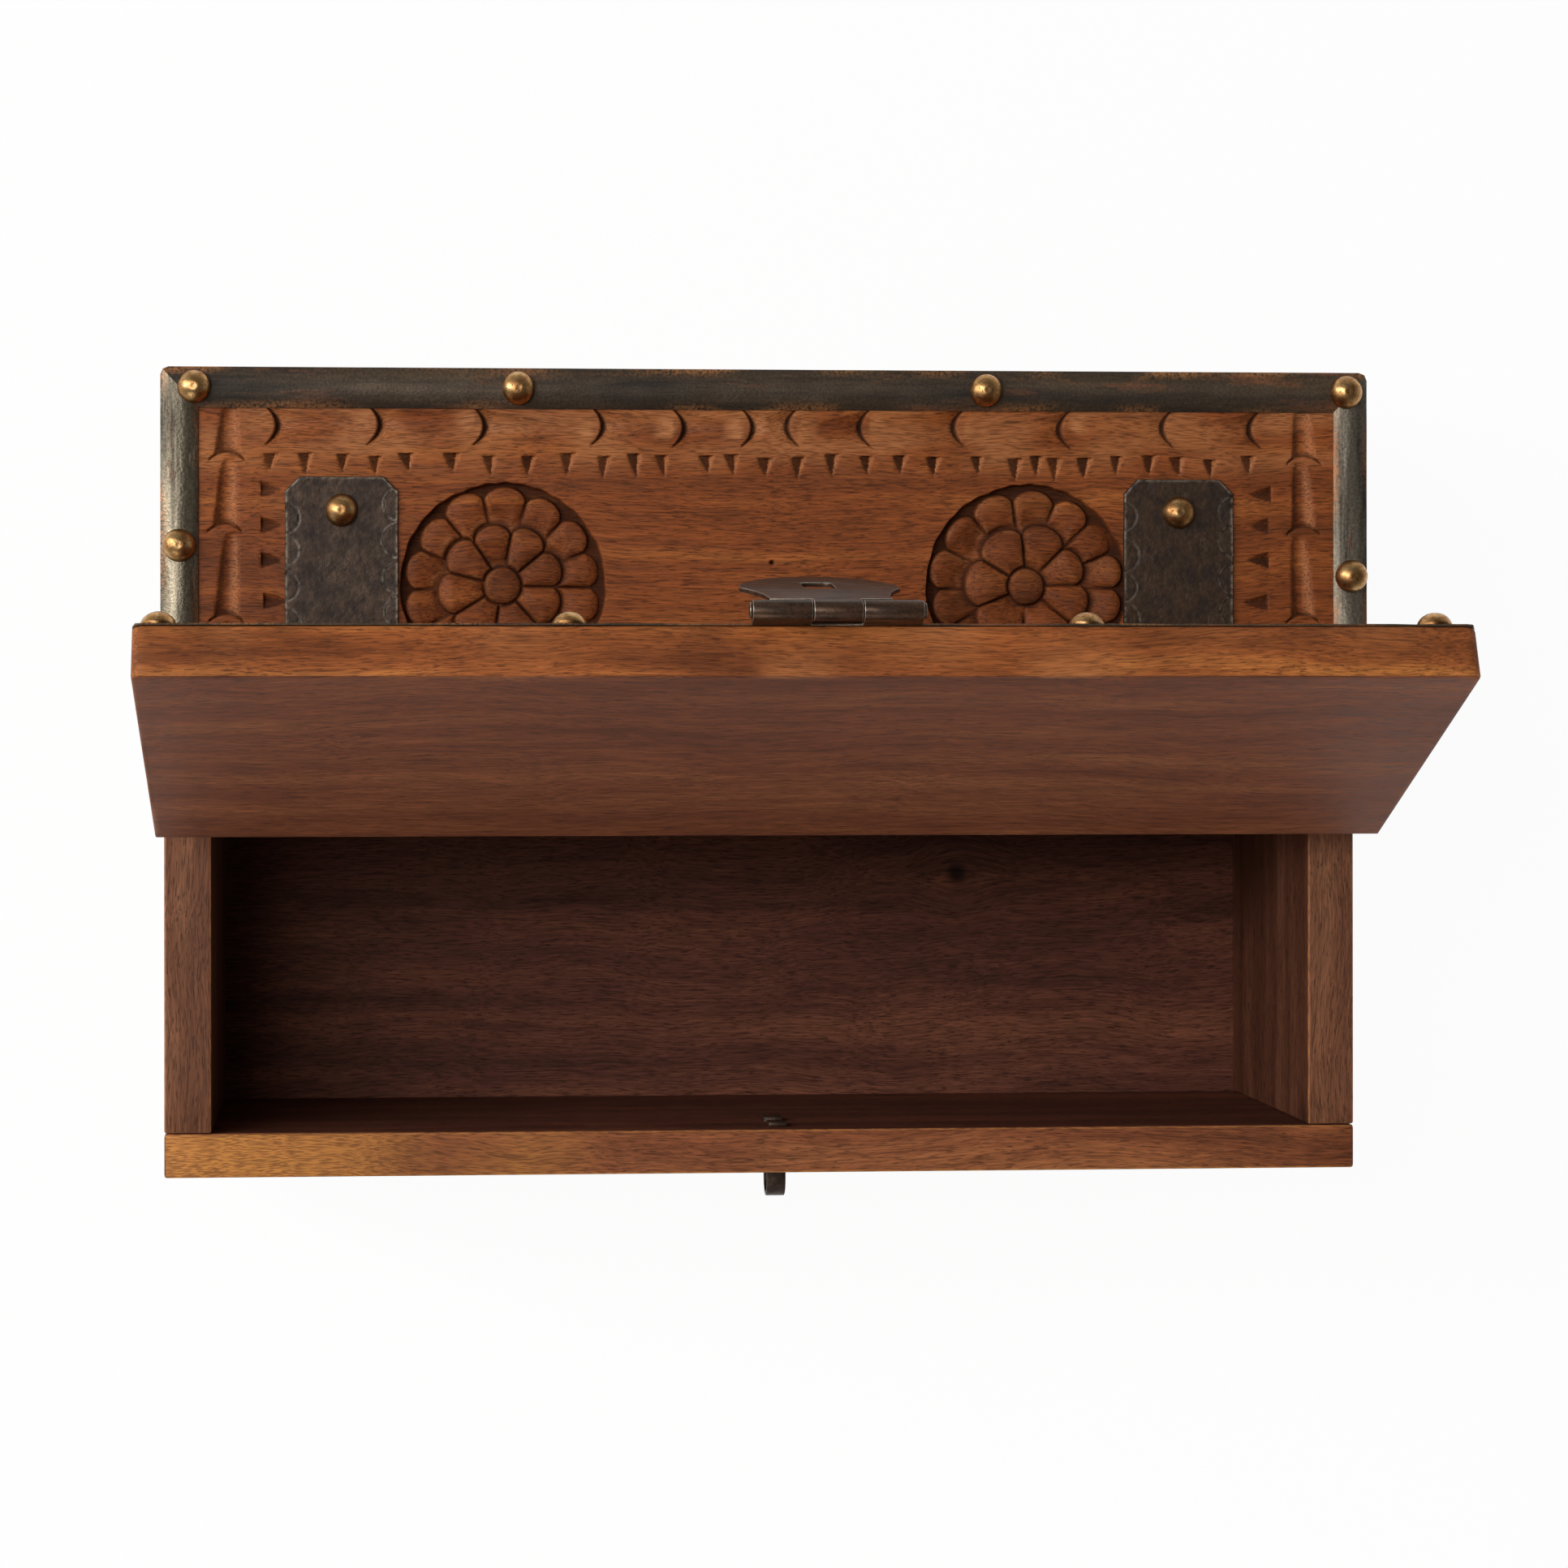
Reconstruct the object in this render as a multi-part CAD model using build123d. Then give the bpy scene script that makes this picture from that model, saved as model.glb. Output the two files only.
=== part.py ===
"""Hinged wooden stationery box: carved fixed rear board, carved front lid, strap hinges and hasp.

The origin is the centre of the underside, +Z is up, +Y is towards the hinged back, +X is to the
right seen from the front. Everything is drawn with the lid shut, and the lid and hasp are then
swung to the positions in which the box stands open.
"""
from build123d import *
from math import pi, tan
import os

# Carcass, in millimetres
box_width = 380.0
box_depth = 254.0
inner_depth = 110.0
side_thick = 15.0
front_thick = 14.0
back_thick = 14.0
bottom_thick = 12.0

# The two boards that close the top
top_thick = 16.0
joint_line = -2.0            # the hinge axis, measured from the middle of the box
board_gap = 1.0              # between the fixed board and the lid
joint_bevel = 1.5            # eased top edges at that gap, which let the knuckles turn
corner_round = 2.5           # outer corners of both boards, seen from above
lid_overhang = 1.0           # past each side wall
lid_front_overhang = 0.5
lid_gap = 0.3                # between the shut lid and the walls it rests on
lid_open = 113.0             # degrees, how far the lid stands open

# Two sunk rosettes carved in each top board
rosette_radius = 32.0
rosette_depth = 2.6
rosette_spread = 165.2       # between their middles
rosette_shift = -1.2         # of the pair, along the board
rosette_back = 67.8          # from the board's outer long edge
outer_petals = 14
outer_petal_span = (20.0, 31.2)
inner_petals = 8
inner_petal_span = (7.6, 19.2)
petal_groove = 1.5           # between neighbouring petals at their foot
petal_drop = 0.5             # petals end this far below the board's face
petal_slope = 16.0           # degrees, of their sides
petal_end = 0.75             # length of the cut-back end, as a share of half the petal's width
petal_tip = 0.45             # width of the tip, as a share of the petal's width
boss_radius = 6.0

# Iron edging on the top boards, a shallow rounded section
edging_wide = 12.7           # along the back, and along the lid's front
edging_left = 11.7
edging_right = 10.7
edging_edge = 0.7            # thickness at its edges
edging_crown = 2.2           # thickness along its middle

# Brass dome studs that hold the edging and the hinge leaves
stud_radius = 5.15
stud_height = 4.4
stud_shoulder = 0.62         # share of the height where the dome turns over
stud_crown = 0.78            # share of the radius there
shank_width = 2.0            # square shank
shank_length = 11.0
corner_stud_left = 10.5      # from the end of the board
corner_stud_right = 7.0
long_studs = (-0.208, 0.179)  # between the corners, as shares of the width
left_stud_back = 55.6        # from the board's outer long edge
right_stud_back = 64.5

# Rolled strap hinges
leaf_thick = 1.4
pin_radius = 1.6
pin_play = 0.05              # radial, in every knuckle
knuckle_gap = 0.3            # between neighbouring knuckles
swing_gap = 0.4              # between a knuckle and the plate that it turns past
peen_radius = 2.3
peen_height = 0.8
strap_width = 35.2
strap_length = 95.0          # from the pin
strap_clip = 4.5             # cut corners
strap_knuckle = 11.6         # each of the two on the fixed leaf
left_hinge_in = 56.0         # hinge middle from the box's side
right_hinge_in = 60.5
far_stud = 84.5              # from the pin
near_stud = 22.0

# Hasp on the lid's front edge
hasp_x = 7.0
hasp_width = 48.6            # along its barrel
hasp_knuckle = 17.0          # each of the two on the fixed plate
hasp_plate_length = 34.0
hasp_edge_gap = 0.35         # between the hanging strap and the lid's edge
strap_offset = -1.5          # the hasp's strap sits a little left of its barrel
shoulder_width = 35.0
wing_width = 46.6
wing_at = 32.0               # widest place, from the pin
hasp_length = 61.0
hasp_toe = 16.0              # straight stretch at the far end
waist_bow = 1.6              # how far the shoulder's sides curve in
cheek_bow = 4.6              # how far the toe's sides curve out
hasp_rest = 149.0            # degrees from sticking straight out of the lid's edge
slot_width = 9.2
slot_height = 16.0
slot_at = 38.0               # slot middle, from the pin
tack_head = 4.6
tack_height = 1.2
tack_length = 9.0
tack_inset = 7.0             # from the plate's edges

# Staple in the front wall
staple_width = 6.0
staple_thick = 1.4
staple_height = 12.0
staple_reach = 9.4           # out of the wall
staple_clinch = 7.0          # turned-over leg inside
staple_offset = -0.7         # from the slot's middle

# Square cut nails in the carcass, their heads driven flush
nail_width = 2.0
nail_head = 4.0
nail_head_thick = 1.0
wall_nail_length = 38.0
bottom_nail_length = 32.0
board_nail_length = 36.0
wall_nail_count = 3
wall_nail_end = 20.0         # first and last nail from the wall's edges
bottom_nail_count = 4
bottom_nail_end = 60.0
board_nail_count = 3
board_nail_end = 95.0
board_nail_front = 20.0      # from the fixed board's front edge, into each side wall

# Worked-out places
wall_top = bottom_thick + inner_depth
top_face = wall_top + top_thick
barrel_radius = pin_radius + pin_play + leaf_thick
axis_height = top_face + barrel_radius
rear_edge = joint_line + board_gap / 2
lid_edge = joint_line - board_gap / 2
rear_depth = box_depth / 2 - rear_edge
lid_front = -box_depth / 2 - lid_front_overhang
lid_depth = lid_edge - lid_front
lid_width = box_width + 2 * lid_overhang
hinge_places = {
    "left": -box_width / 2 + left_hinge_in,
    "right": box_width / 2 - right_hinge_in,
}
hasp_axis_y = lid_front - barrel_radius - hasp_edge_gap
strap_x = hasp_x + strap_offset
staple_x = strap_x + staple_offset
staple_z = axis_height - slot_at
hinge_axis = Axis((0, joint_line, axis_height), (1, 0, 0))
hasp_axis = Axis((0, hasp_axis_y, axis_height), (1, 0, 0))


def block(x_span, y_span, z_span):
    """A rectangular block between two places on each axis."""
    size = [high - low for low, high in (x_span, y_span, z_span)]
    low_corner = (x_span[0], y_span[0], z_span[0])
    return Pos(*low_corner) * Box(*size, align=(Align.MIN, Align.MIN, Align.MIN))


def rod(radius, length, start=0.0):
    """A round bar along X, centred on start."""
    return Pos(start, 0, 0) * Rot(0, 90, 0) * Cylinder(radius, length)


def spread(first, last, count):
    """Evenly spaced places from first to last."""
    step = (last - first) / (count - 1)
    return [first + step * index for index in range(count)]


def square_shank(width, length):
    """A square bar hanging down from the origin."""
    return Box(width, width, length, align=(Align.CENTER, Align.CENTER, Align.MAX))


def headed_nail(length):
    """A cut nail pointing down, with the top of its flat square head at the origin."""
    return square_shank(nail_head, nail_head_thick) + square_shank(nail_width, length)


def stud():
    """A dome-headed nail pointing down, with the underside of its dome at the origin."""
    shoulder = (stud_radius * stud_crown, stud_height * stud_shoulder)
    outline = Polyline((0, 0), (stud_radius, 0), shoulder, (0, stud_height), close=True)
    return revolve(Plane.XZ * make_face(outline), Axis.Z) + square_shank(shank_width, shank_length)


def fitted(piece, *fasteners):
    """The piece with the holes that its fasteners fill."""
    for group in fasteners:
        for fastener in group:
            piece -= fastener
    return piece


# Carcass

def wall_nails(face_y, into):
    """Nails through the front or back wall into the ends of the side walls."""
    heights = spread(bottom_thick + wall_nail_end, wall_top - wall_nail_end, wall_nail_count)
    side_middle = box_width / 2 - side_thick / 2
    turn = Rot(90 * into, 0, 0)
    nails = []
    for side in (-1, 1):
        for height in heights:
            nails.append(Pos(side * side_middle, face_y, height) * turn * headed_nail(wall_nail_length))
    return nails


def bottom_nails():
    """Nails up through the bottom board into the four walls."""
    nail = Rot(180, 0, 0) * headed_nail(bottom_nail_length)
    nails = []
    for x in spread(-box_width / 2 + bottom_nail_end, box_width / 2 - bottom_nail_end, bottom_nail_count):
        nails.append(Pos(x, -box_depth / 2 + front_thick / 2, 0) * nail)
        nails.append(Pos(x, box_depth / 2 - back_thick / 2, 0) * nail)
    for side in (-1, 1):
        for y in (-box_depth / 2 + bottom_nail_end, box_depth / 2 - bottom_nail_end):
            nails.append(Pos(side * (box_width - side_thick) / 2, y, 0) * nail)
    return nails


def board_nails():
    """Nails down through the fixed board into the back and side walls, hidden by the edging."""
    nail = headed_nail(board_nail_length)
    reach = box_width / 2 - board_nail_end
    back = box_depth / 2 - back_thick / 2
    places = [(x, back) for x in spread(-reach, reach, board_nail_count)]
    places += [(side * (box_width - side_thick) / 2, rear_edge + board_nail_front) for side in (-1, 1)]
    return [Pos(x, y, top_face) * nail for x, y in places]


def cross_wall(y_span):
    """The front or back wall, across the full width."""
    return block((-box_width / 2, box_width / 2), y_span, (bottom_thick, wall_top))


def side_wall(side):
    """A side wall, butted between the front and back walls."""
    outer = side * box_width / 2
    inner = outer - side * side_thick
    y_span = (-box_depth / 2 + front_thick, box_depth / 2 - back_thick)
    return block(sorted((outer, inner)), y_span, (bottom_thick, wall_top))


def staple():
    """A strip bent to an eye, with both legs driven through the front wall and turned over."""
    half = staple_height / 2
    inside = half - staple_thick
    bend = staple_reach - half
    eye = Rectangle(bend, staple_height, align=(Align.MAX, Align.CENTER)) + Pos(-bend, 0) * Circle(half)
    eye -= Rectangle(bend, 2 * inside, align=(Align.MAX, Align.CENTER)) + Pos(-bend, 0) * Circle(inside)
    eye &= Rectangle(staple_reach, staple_height, align=(Align.MAX, Align.CENTER))
    leg_length = front_thick + staple_thick
    leg = Rectangle(leg_length, staple_thick, align=(Align.MIN, Align.MAX))
    clinch = Rectangle(staple_thick, staple_clinch, align=(Align.MIN, Align.MIN))
    upper = Pos(0, half) * leg + Pos(front_thick, half - staple_thick) * clinch
    side_view = eye + upper + mirror(upper, about=Plane.XZ)
    strip = extrude(Plane.YZ * side_view, staple_width / 2, both=True)
    return Pos(staple_x, -box_depth / 2, staple_z) * strip


# A top board with its carving, edging and studs, drawn with the hinge edge at y = 0, the outer
# edge at y = depth and the board's face at z = 0

def footprint(width, depth, z_span):
    """A slab of the board's outline, with its two outer corners rounded."""
    slab = block((-width / 2, width / 2), (0, depth), z_span)
    corners = slab.edges().filter_by(Axis.Z).group_by(Axis.Y)[-1]
    return fillet(corners, corner_round)


def top_board(width, depth, thick):
    """The plain board, its top edge at the hinge eased."""
    board = footprint(width, depth, (-thick, 0))
    return chamfer(board.edges().group_by(Axis.Y)[0].group_by(Axis.Z)[-1], joint_bevel)


def petal_ring(count, span):
    """Petals around the origin, chiselled with straight cuts, three of them at the outer end."""
    inner, outer = span
    spread_rate = 2 * tan(pi / count)
    inner_half = (inner * spread_rate - petal_groove) / 2
    outer_half = (outer * spread_rate - petal_groove) / 2
    shoulder = outer - outer_half * petal_end
    side = [(inner, -inner_half), (shoulder, -outer_half), (outer, -outer_half * petal_tip)]
    outline = Polyline(*side, *[(x, -y) for x, y in reversed(side)], close=True)
    petal = extrude(make_face(outline), rosette_depth - petal_drop, taper=petal_slope)
    return [Rot(0, 0, 360 / count * index) * petal for index in range(count)]


def rosette_places(depth):
    y = depth - rosette_back
    return [Pos(rosette_shift + side * rosette_spread / 2, y, -rosette_depth) for side in (-1, 1)]


def carved(board, depth):
    """The board with its rosettes, sunk discs that hold two rings of petals and a boss."""
    disc = Cylinder(rosette_radius, rosette_depth, align=(Align.CENTER, Align.CENTER, Align.MIN))
    boss = extrude(RegularPolygon(boss_radius, inner_petals), rosette_depth - petal_drop, taper=petal_slope)
    flower = petal_ring(outer_petals, outer_petal_span) + petal_ring(inner_petals, inner_petal_span)
    flower.append(boss)
    for place in rosette_places(depth):
        board -= place * disc
        board += [place * piece for piece in flower]
    return board


def edging_section(width):
    """The strip's section, lying on its flat side, with its middle at the origin."""
    half = width / 2
    outline = Polyline((-half, edging_edge), (-half, 0), (half, 0), (half, edging_edge))
    outline += ThreePointArc((half, edging_edge), (0, edging_crown), (-half, edging_edge))
    return make_face(outline)


def long_edging(width, depth):
    """The strip along the outer edge, mitred at both ends."""
    bar = extrude(Plane.YZ * edging_section(edging_wide), width / 2, both=True)
    inner = depth - edging_wide
    plan = Polyline((-width / 2, depth), (width / 2, depth), (width / 2 - edging_right, inner),
                    (-width / 2 + edging_left, inner), close=True)
    strip = Pos(0, depth - edging_wide / 2, 0) * bar & extrude(make_face(plan), edging_crown)
    return strip & footprint(width, depth, (0, edging_crown))


def short_edging(width, depth, side):
    """The strip down one side, mitred where it meets the long strip."""
    strip_width = edging_left if side < 0 else edging_right
    bar = extrude(Plane.XZ * edging_section(strip_width), -depth)
    outer = side * width / 2
    inner = outer - side * strip_width
    plan = Polyline((outer, 0), (outer, depth), (inner, depth - edging_wide), (inner, 0), close=True)
    strip = Pos(outer - side * strip_width / 2, 0, 0) * bar & extrude(make_face(plan), edging_crown)
    return strip & footprint(width, depth, (0, edging_crown))


def edging_studs(width, depth):
    """Studs along the outer edge and one on each side strip."""
    along = depth - edging_wide / 2
    places = [(-width / 2 + corner_stud_left, along), (width / 2 - corner_stud_right, along)]
    places += [(share * width, along) for share in long_studs]
    places.append((-width / 2 + edging_left / 2, depth - left_stud_back))
    places.append((width / 2 - edging_right / 2, depth - right_stud_back))
    return [Pos(x, y, edging_crown) * stud() for x, y in places]


# Hinges: the barrel runs along X at height barrel_radius, and a leaf reaches towards +Y

def rolled_leaf(plate, spans):
    """A flat plate with the knuckles rolled from its edge at the given spans along the barrel."""
    leaf = extrude(plate, leaf_thick)
    for start, end in spans:
        middle = (start + end) / 2
        leaf += block((start, end), (0, barrel_radius + swing_gap), (0, leaf_thick))
        leaf += Pos(0, 0, barrel_radius) * rod(barrel_radius, end - start, middle)
    bore_length = 4 * max(abs(end) for span in spans for end in span)
    return leaf - Pos(0, 0, barrel_radius) * rod(pin_radius + pin_play, bore_length)


def outer_spans(length, knuckle):
    return [(-length / 2, -length / 2 + knuckle), (length / 2 - knuckle, length / 2)]


def middle_span(length, knuckle):
    half = length / 2 - knuckle - knuckle_gap
    return [(-half, half)]


def clipped_plate(width, length, clip):
    """A plate with cut far corners, starting clear of the other leaf's knuckles."""
    start = barrel_radius + swing_gap
    half = width / 2
    outline = Polyline((-half, start), (-half, length - clip), (-half + clip, length),
                       (half - clip, length), (half, length - clip), (half, start), close=True)
    return make_face(outline)


def hinge_pin(length):
    """A pin with peened ends, running free in the knuckles."""
    pin = rod(pin_radius, length + 2 * peen_height)
    for side in (-1, 1):
        pin += rod(peen_radius, peen_height, side * (length + peen_height) / 2)
    return pin


def strap_leaf(fixed):
    spans = outer_spans(strap_width, strap_knuckle) if fixed else middle_span(strap_width, strap_knuckle)
    return rolled_leaf(clipped_plate(strap_width, strap_length, strap_clip), spans)


def leaf_studs():
    return [Pos(0, y, leaf_thick) * stud() for y in (far_stud, near_stud)]


def hasp_plate():
    plate = clipped_plate(hasp_width, hasp_plate_length, strap_clip)
    return rolled_leaf(plate, outer_spans(hasp_width, hasp_knuckle))


def hasp_tacks():
    """Four square-headed tacks through the hasp's plate into the lid."""
    head = Box(tack_head, tack_head, tack_height, align=(Align.CENTER, Align.CENTER, Align.MIN))
    tack = head + square_shank(nail_width, tack_length)
    first = -hasp_axis_y + lid_front + tack_inset
    rows = (first, hasp_plate_length - tack_inset)
    columns = (-hasp_width / 2 + tack_inset, hasp_width / 2 - tack_inset)
    return [Pos(x, y, leaf_thick) * tack for x in columns for y in rows]


def hasp_strap():
    """The swinging leaf: a shoulder that spreads to two pointed wings, a rounded toe and a slot."""
    start = barrel_radius + swing_gap
    shoulder = (shoulder_width / 2, start)
    wing = (wing_width / 2, wing_at)
    toe = (hasp_toe / 2, hasp_length)
    right = SagittaArc(shoulder, wing, waist_bow) + SagittaArc(wing, toe, -cheek_bow)
    left = mirror(right, about=Plane.YZ)
    ends = Line((-shoulder[0], start), shoulder) + Line((-toe[0], hasp_length), toe)
    plate = make_face(right + left + ends)
    plate -= Pos(0, slot_at) * RectangleRounded(slot_width, slot_height, slot_width / 4)
    knuckle = middle_span(hasp_width, hasp_knuckle)
    shifted = [(low - strap_offset, high - strap_offset) for low, high in knuckle]
    return Pos(strap_offset, 0, 0) * rolled_leaf(plate, shifted)


# Placing

def on_rear(shape):
    """Put a shape drawn for a top board onto the fixed rear board."""
    return Pos(0, rear_edge, top_face) * shape


def on_lid(shape):
    """Turn a shape drawn for a top board end for end onto the shut lid."""
    return Pos(0, lid_edge, top_face) * Rot(0, 0, 180) * shape


def opened(shape):
    """Swing a shape from the shut lid to the open one."""
    return shape.rotate(hinge_axis, -lid_open)


def save(name, shapes):
    """Write one node, from one solid or a group of alike solids."""
    solids = [solid for shape in shapes for solid in shape.solids()]
    for solid in solids:
        solid.label = name
    whole = solids[0] if len(solids) == 1 else Compound(label=name, children=solids)
    export_step(whole, os.path.join("parts", name + ".step"))


def build_box():
    """Everything that stands still."""
    front_nails = wall_nails(-box_depth / 2, 1)
    back_nails = wall_nails(box_depth / 2, -1)
    base_nails = bottom_nails()
    top_nails = board_nails()
    eye = staple()
    depth = (-box_depth / 2, box_depth / 2)
    bottom = block((-box_width / 2, box_width / 2), depth, (0, bottom_thick))
    front = cross_wall((-box_depth / 2, -box_depth / 2 + front_thick))
    back = cross_wall((box_depth / 2 - back_thick, box_depth / 2))
    save("bottom_board", [fitted(bottom, base_nails)])
    save("front_wall", [fitted(front, front_nails, base_nails, [eye])])
    save("back_wall", [fitted(back, back_nails, base_nails, top_nails)])
    for name, side in (("left_wall", -1), ("right_wall", 1)):
        save(name, [fitted(side_wall(side), front_nails, back_nails, base_nails, top_nails)])
    save("front_wall_nails", front_nails)
    save("back_wall_nails", back_nails)
    save("bottom_nails", base_nails)
    save("rear_board_nails", top_nails)
    save("hasp_staple", [eye])

    studs = [on_rear(one) for one in edging_studs(box_width, rear_depth)]
    straps = []
    strap_studs = []
    for name, x in hinge_places.items():
        place = Pos(x, joint_line, top_face)
        own_studs = [place * one for one in leaf_studs()]
        straps.append((name, fitted(place * strap_leaf(True), own_studs)))
        strap_studs += own_studs
        save(name + "_hinge_pin", [Pos(x, joint_line, axis_height) * hinge_pin(strap_width)])
    for name, strap in straps:
        save(name + "_hinge_rear_leaf", [strap])
    board = on_rear(carved(top_board(box_width, rear_depth, top_thick), rear_depth))
    save("rear_top_board", [fitted(board, studs, strap_studs, top_nails)])
    strips = {
        "rear_edging_back": long_edging(box_width, rear_depth),
        "rear_edging_left": short_edging(box_width, rear_depth, -1),
        "rear_edging_right": short_edging(box_width, rear_depth, 1),
    }
    for name, strip in strips.items():
        save(name, [fitted(on_rear(strip), studs)])
    save("rear_edging_studs", studs)
    save("rear_leaf_studs", strap_studs)


def build_lid():
    """The lid, with all that is fixed to it, swung open."""
    studs = [on_lid(one) for one in edging_studs(lid_width, lid_depth)]
    strap_studs = []
    for name, x in hinge_places.items():
        place = Pos(x, joint_line, top_face) * Rot(0, 0, 180)
        own_studs = [place * one for one in leaf_studs()]
        strap = fitted(place * strap_leaf(False), own_studs)
        strap_studs += own_studs
        save(name + "_hinge_lid_leaf", [opened(strap)])
    hasp_place = Pos(hasp_x, hasp_axis_y, top_face)
    tacks = [hasp_place * one for one in hasp_tacks()]
    plate = fitted(hasp_place * hasp_plate(), tacks)
    pin = Pos(hasp_x, hasp_axis_y, axis_height) * hinge_pin(hasp_width)
    board = on_lid(carved(top_board(lid_width, lid_depth, top_thick - lid_gap), lid_depth))
    save("lid_board", [opened(fitted(board, studs, strap_studs, tacks))])
    window = block((hasp_x - hasp_width / 2, hasp_x + hasp_width / 2),
                   (lid_front, lid_front + edging_wide), (top_face, top_face + edging_crown))
    strips = {
        "lid_edging_front": on_lid(long_edging(lid_width, lid_depth)) - window,
        "lid_edging_right": on_lid(short_edging(lid_width, lid_depth, -1)),
        "lid_edging_left": on_lid(short_edging(lid_width, lid_depth, 1)),
    }
    for name, strip in strips.items():
        save(name, [opened(fitted(strip, studs))])
    save("lid_edging_studs", [opened(one) for one in studs])
    save("lid_leaf_studs", [opened(one) for one in strap_studs])
    save("hasp_plate", [opened(plate)])
    save("hasp_tacks", [opened(one) for one in tacks])
    save("hasp_pin", [opened(pin)])


def build_hasp():
    """The hasp's swinging strap, hanging behind the open lid."""
    strap = Pos(hasp_x, hasp_axis_y, top_face) * mirror(hasp_strap(), about=Plane.XZ)
    save("hasp_strap", [opened(strap.rotate(hasp_axis, -hasp_rest))])


os.makedirs("parts", exist_ok=True)
build_box()
build_lid()
build_hasp()
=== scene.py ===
from math import cos, pi, radians, sin

import bmesh
import bpy
import numpy as np
from mathutils import Matrix, Vector


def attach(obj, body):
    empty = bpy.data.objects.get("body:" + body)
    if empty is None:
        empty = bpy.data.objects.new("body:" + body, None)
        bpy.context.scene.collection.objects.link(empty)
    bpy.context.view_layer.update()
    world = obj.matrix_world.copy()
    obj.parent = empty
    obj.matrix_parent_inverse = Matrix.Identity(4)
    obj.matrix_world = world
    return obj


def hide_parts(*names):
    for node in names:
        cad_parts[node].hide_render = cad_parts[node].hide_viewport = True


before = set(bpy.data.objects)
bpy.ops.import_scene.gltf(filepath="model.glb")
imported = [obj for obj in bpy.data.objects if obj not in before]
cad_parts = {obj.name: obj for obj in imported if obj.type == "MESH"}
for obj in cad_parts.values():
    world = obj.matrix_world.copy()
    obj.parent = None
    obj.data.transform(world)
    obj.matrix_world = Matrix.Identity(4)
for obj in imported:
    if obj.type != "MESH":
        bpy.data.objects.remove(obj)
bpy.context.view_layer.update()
mm = 0.001

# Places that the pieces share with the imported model, in millimetres
box = {
    "width": 380.0, "depth": 254.0, "wallTop": 122.0, "faceTop": 138.0,
    "frontThick": 14.0, "backThick": 14.0, "sideThick": 15.0, "floorThick": 12.0,
    "jointLine": -2.0, "jointGap": 1.0, "lidOpen": 113.0,
    "hingeX": (-134.0, 129.5), "barrelRadius": 3.05, "leafThick": 1.4,
}
halfWidth, halfDepth = box["width"] / 2, box["depth"] / 2
hingeHeight = box["faceTop"] + box["barrelRadius"]


# Plain sums: small irregularities, and places on the two top boards

def smooth(value, low, high):   # 0 below low, 1 above high, with an eased step between
    t = np.clip((value - low) / (high - low), 0, 1)
    return t * t * (3 - 2 * t)


def bell(value, width):   # 1 at 0, about a third at width either way, and soon nothing
    return np.exp(-(value / width) ** 2)


def wobble(x, y, pitch, seed):   # six cosine waves about pitch long, each with its own direction, averaged
    draw = np.random.default_rng(seed)
    total = 0.0
    for _ in range(6):
        angle, phase = draw.uniform(0, 2 * pi, 2)
        rate = 2 * pi / (pitch * draw.uniform(0.7, 1.5))
        total = total + np.cos(rate * (x * cos(angle) + y * sin(angle)) + phase)
    return total / 6


def onRear(points):   # a shape drawn with the hinge edge at y 0 and the face at z 0, on the fixed board
    return points + (0, box["jointLine"] + box["jointGap"] / 2, box["faceTop"])


def onLid(points):   # the same drawing turned end for end onto the shut lid, then swung open on its hinges
    shut = points * (-1, -1, 1) + (0, box["jointLine"] - box["jointGap"] / 2, box["faceTop"])
    c, s = cos(radians(-box["lidOpen"])), sin(radians(-box["lidOpen"]))
    y, z = shut[..., 1] - box["jointLine"], shut[..., 2] - hingeHeight
    return np.stack([shut[..., 0], box["jointLine"] + c * y - s * z, hingeHeight + s * y + c * z], -1)


onBox = {"place": np.asarray, "body": "box"}
topBoards = {
    "rear": {"width": 380.0, "depth": 128.5, "thick": 16.0, "place": onRear, "body": "box"},
    "lid": {"width": 382.0, "depth": 125.0, "thick": 15.7, "place": onLid, "body": "lid"},
}


# Meshes from arrays of points

def gridFaces(rows, cols, wrap=False):   # four-sided faces of a grid of points, rows then columns
    index = np.arange(rows * cols).reshape(rows, cols)
    if wrap:
        index = np.concatenate([index, index[:, :1]], 1)
    return np.stack([index[:-1, :-1], index[:-1, 1:], index[1:, 1:], index[1:, :-1]], -1).reshape(-1, 4)


def rimOf(rows, cols):   # the grid's outline, counter-clockwise from its first point
    index = np.arange(rows * cols).reshape(rows, cols)
    return np.concatenate([index[0, :], index[1:, -1], index[-1, -2::-1], index[-2:0:-1, 0]])


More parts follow.
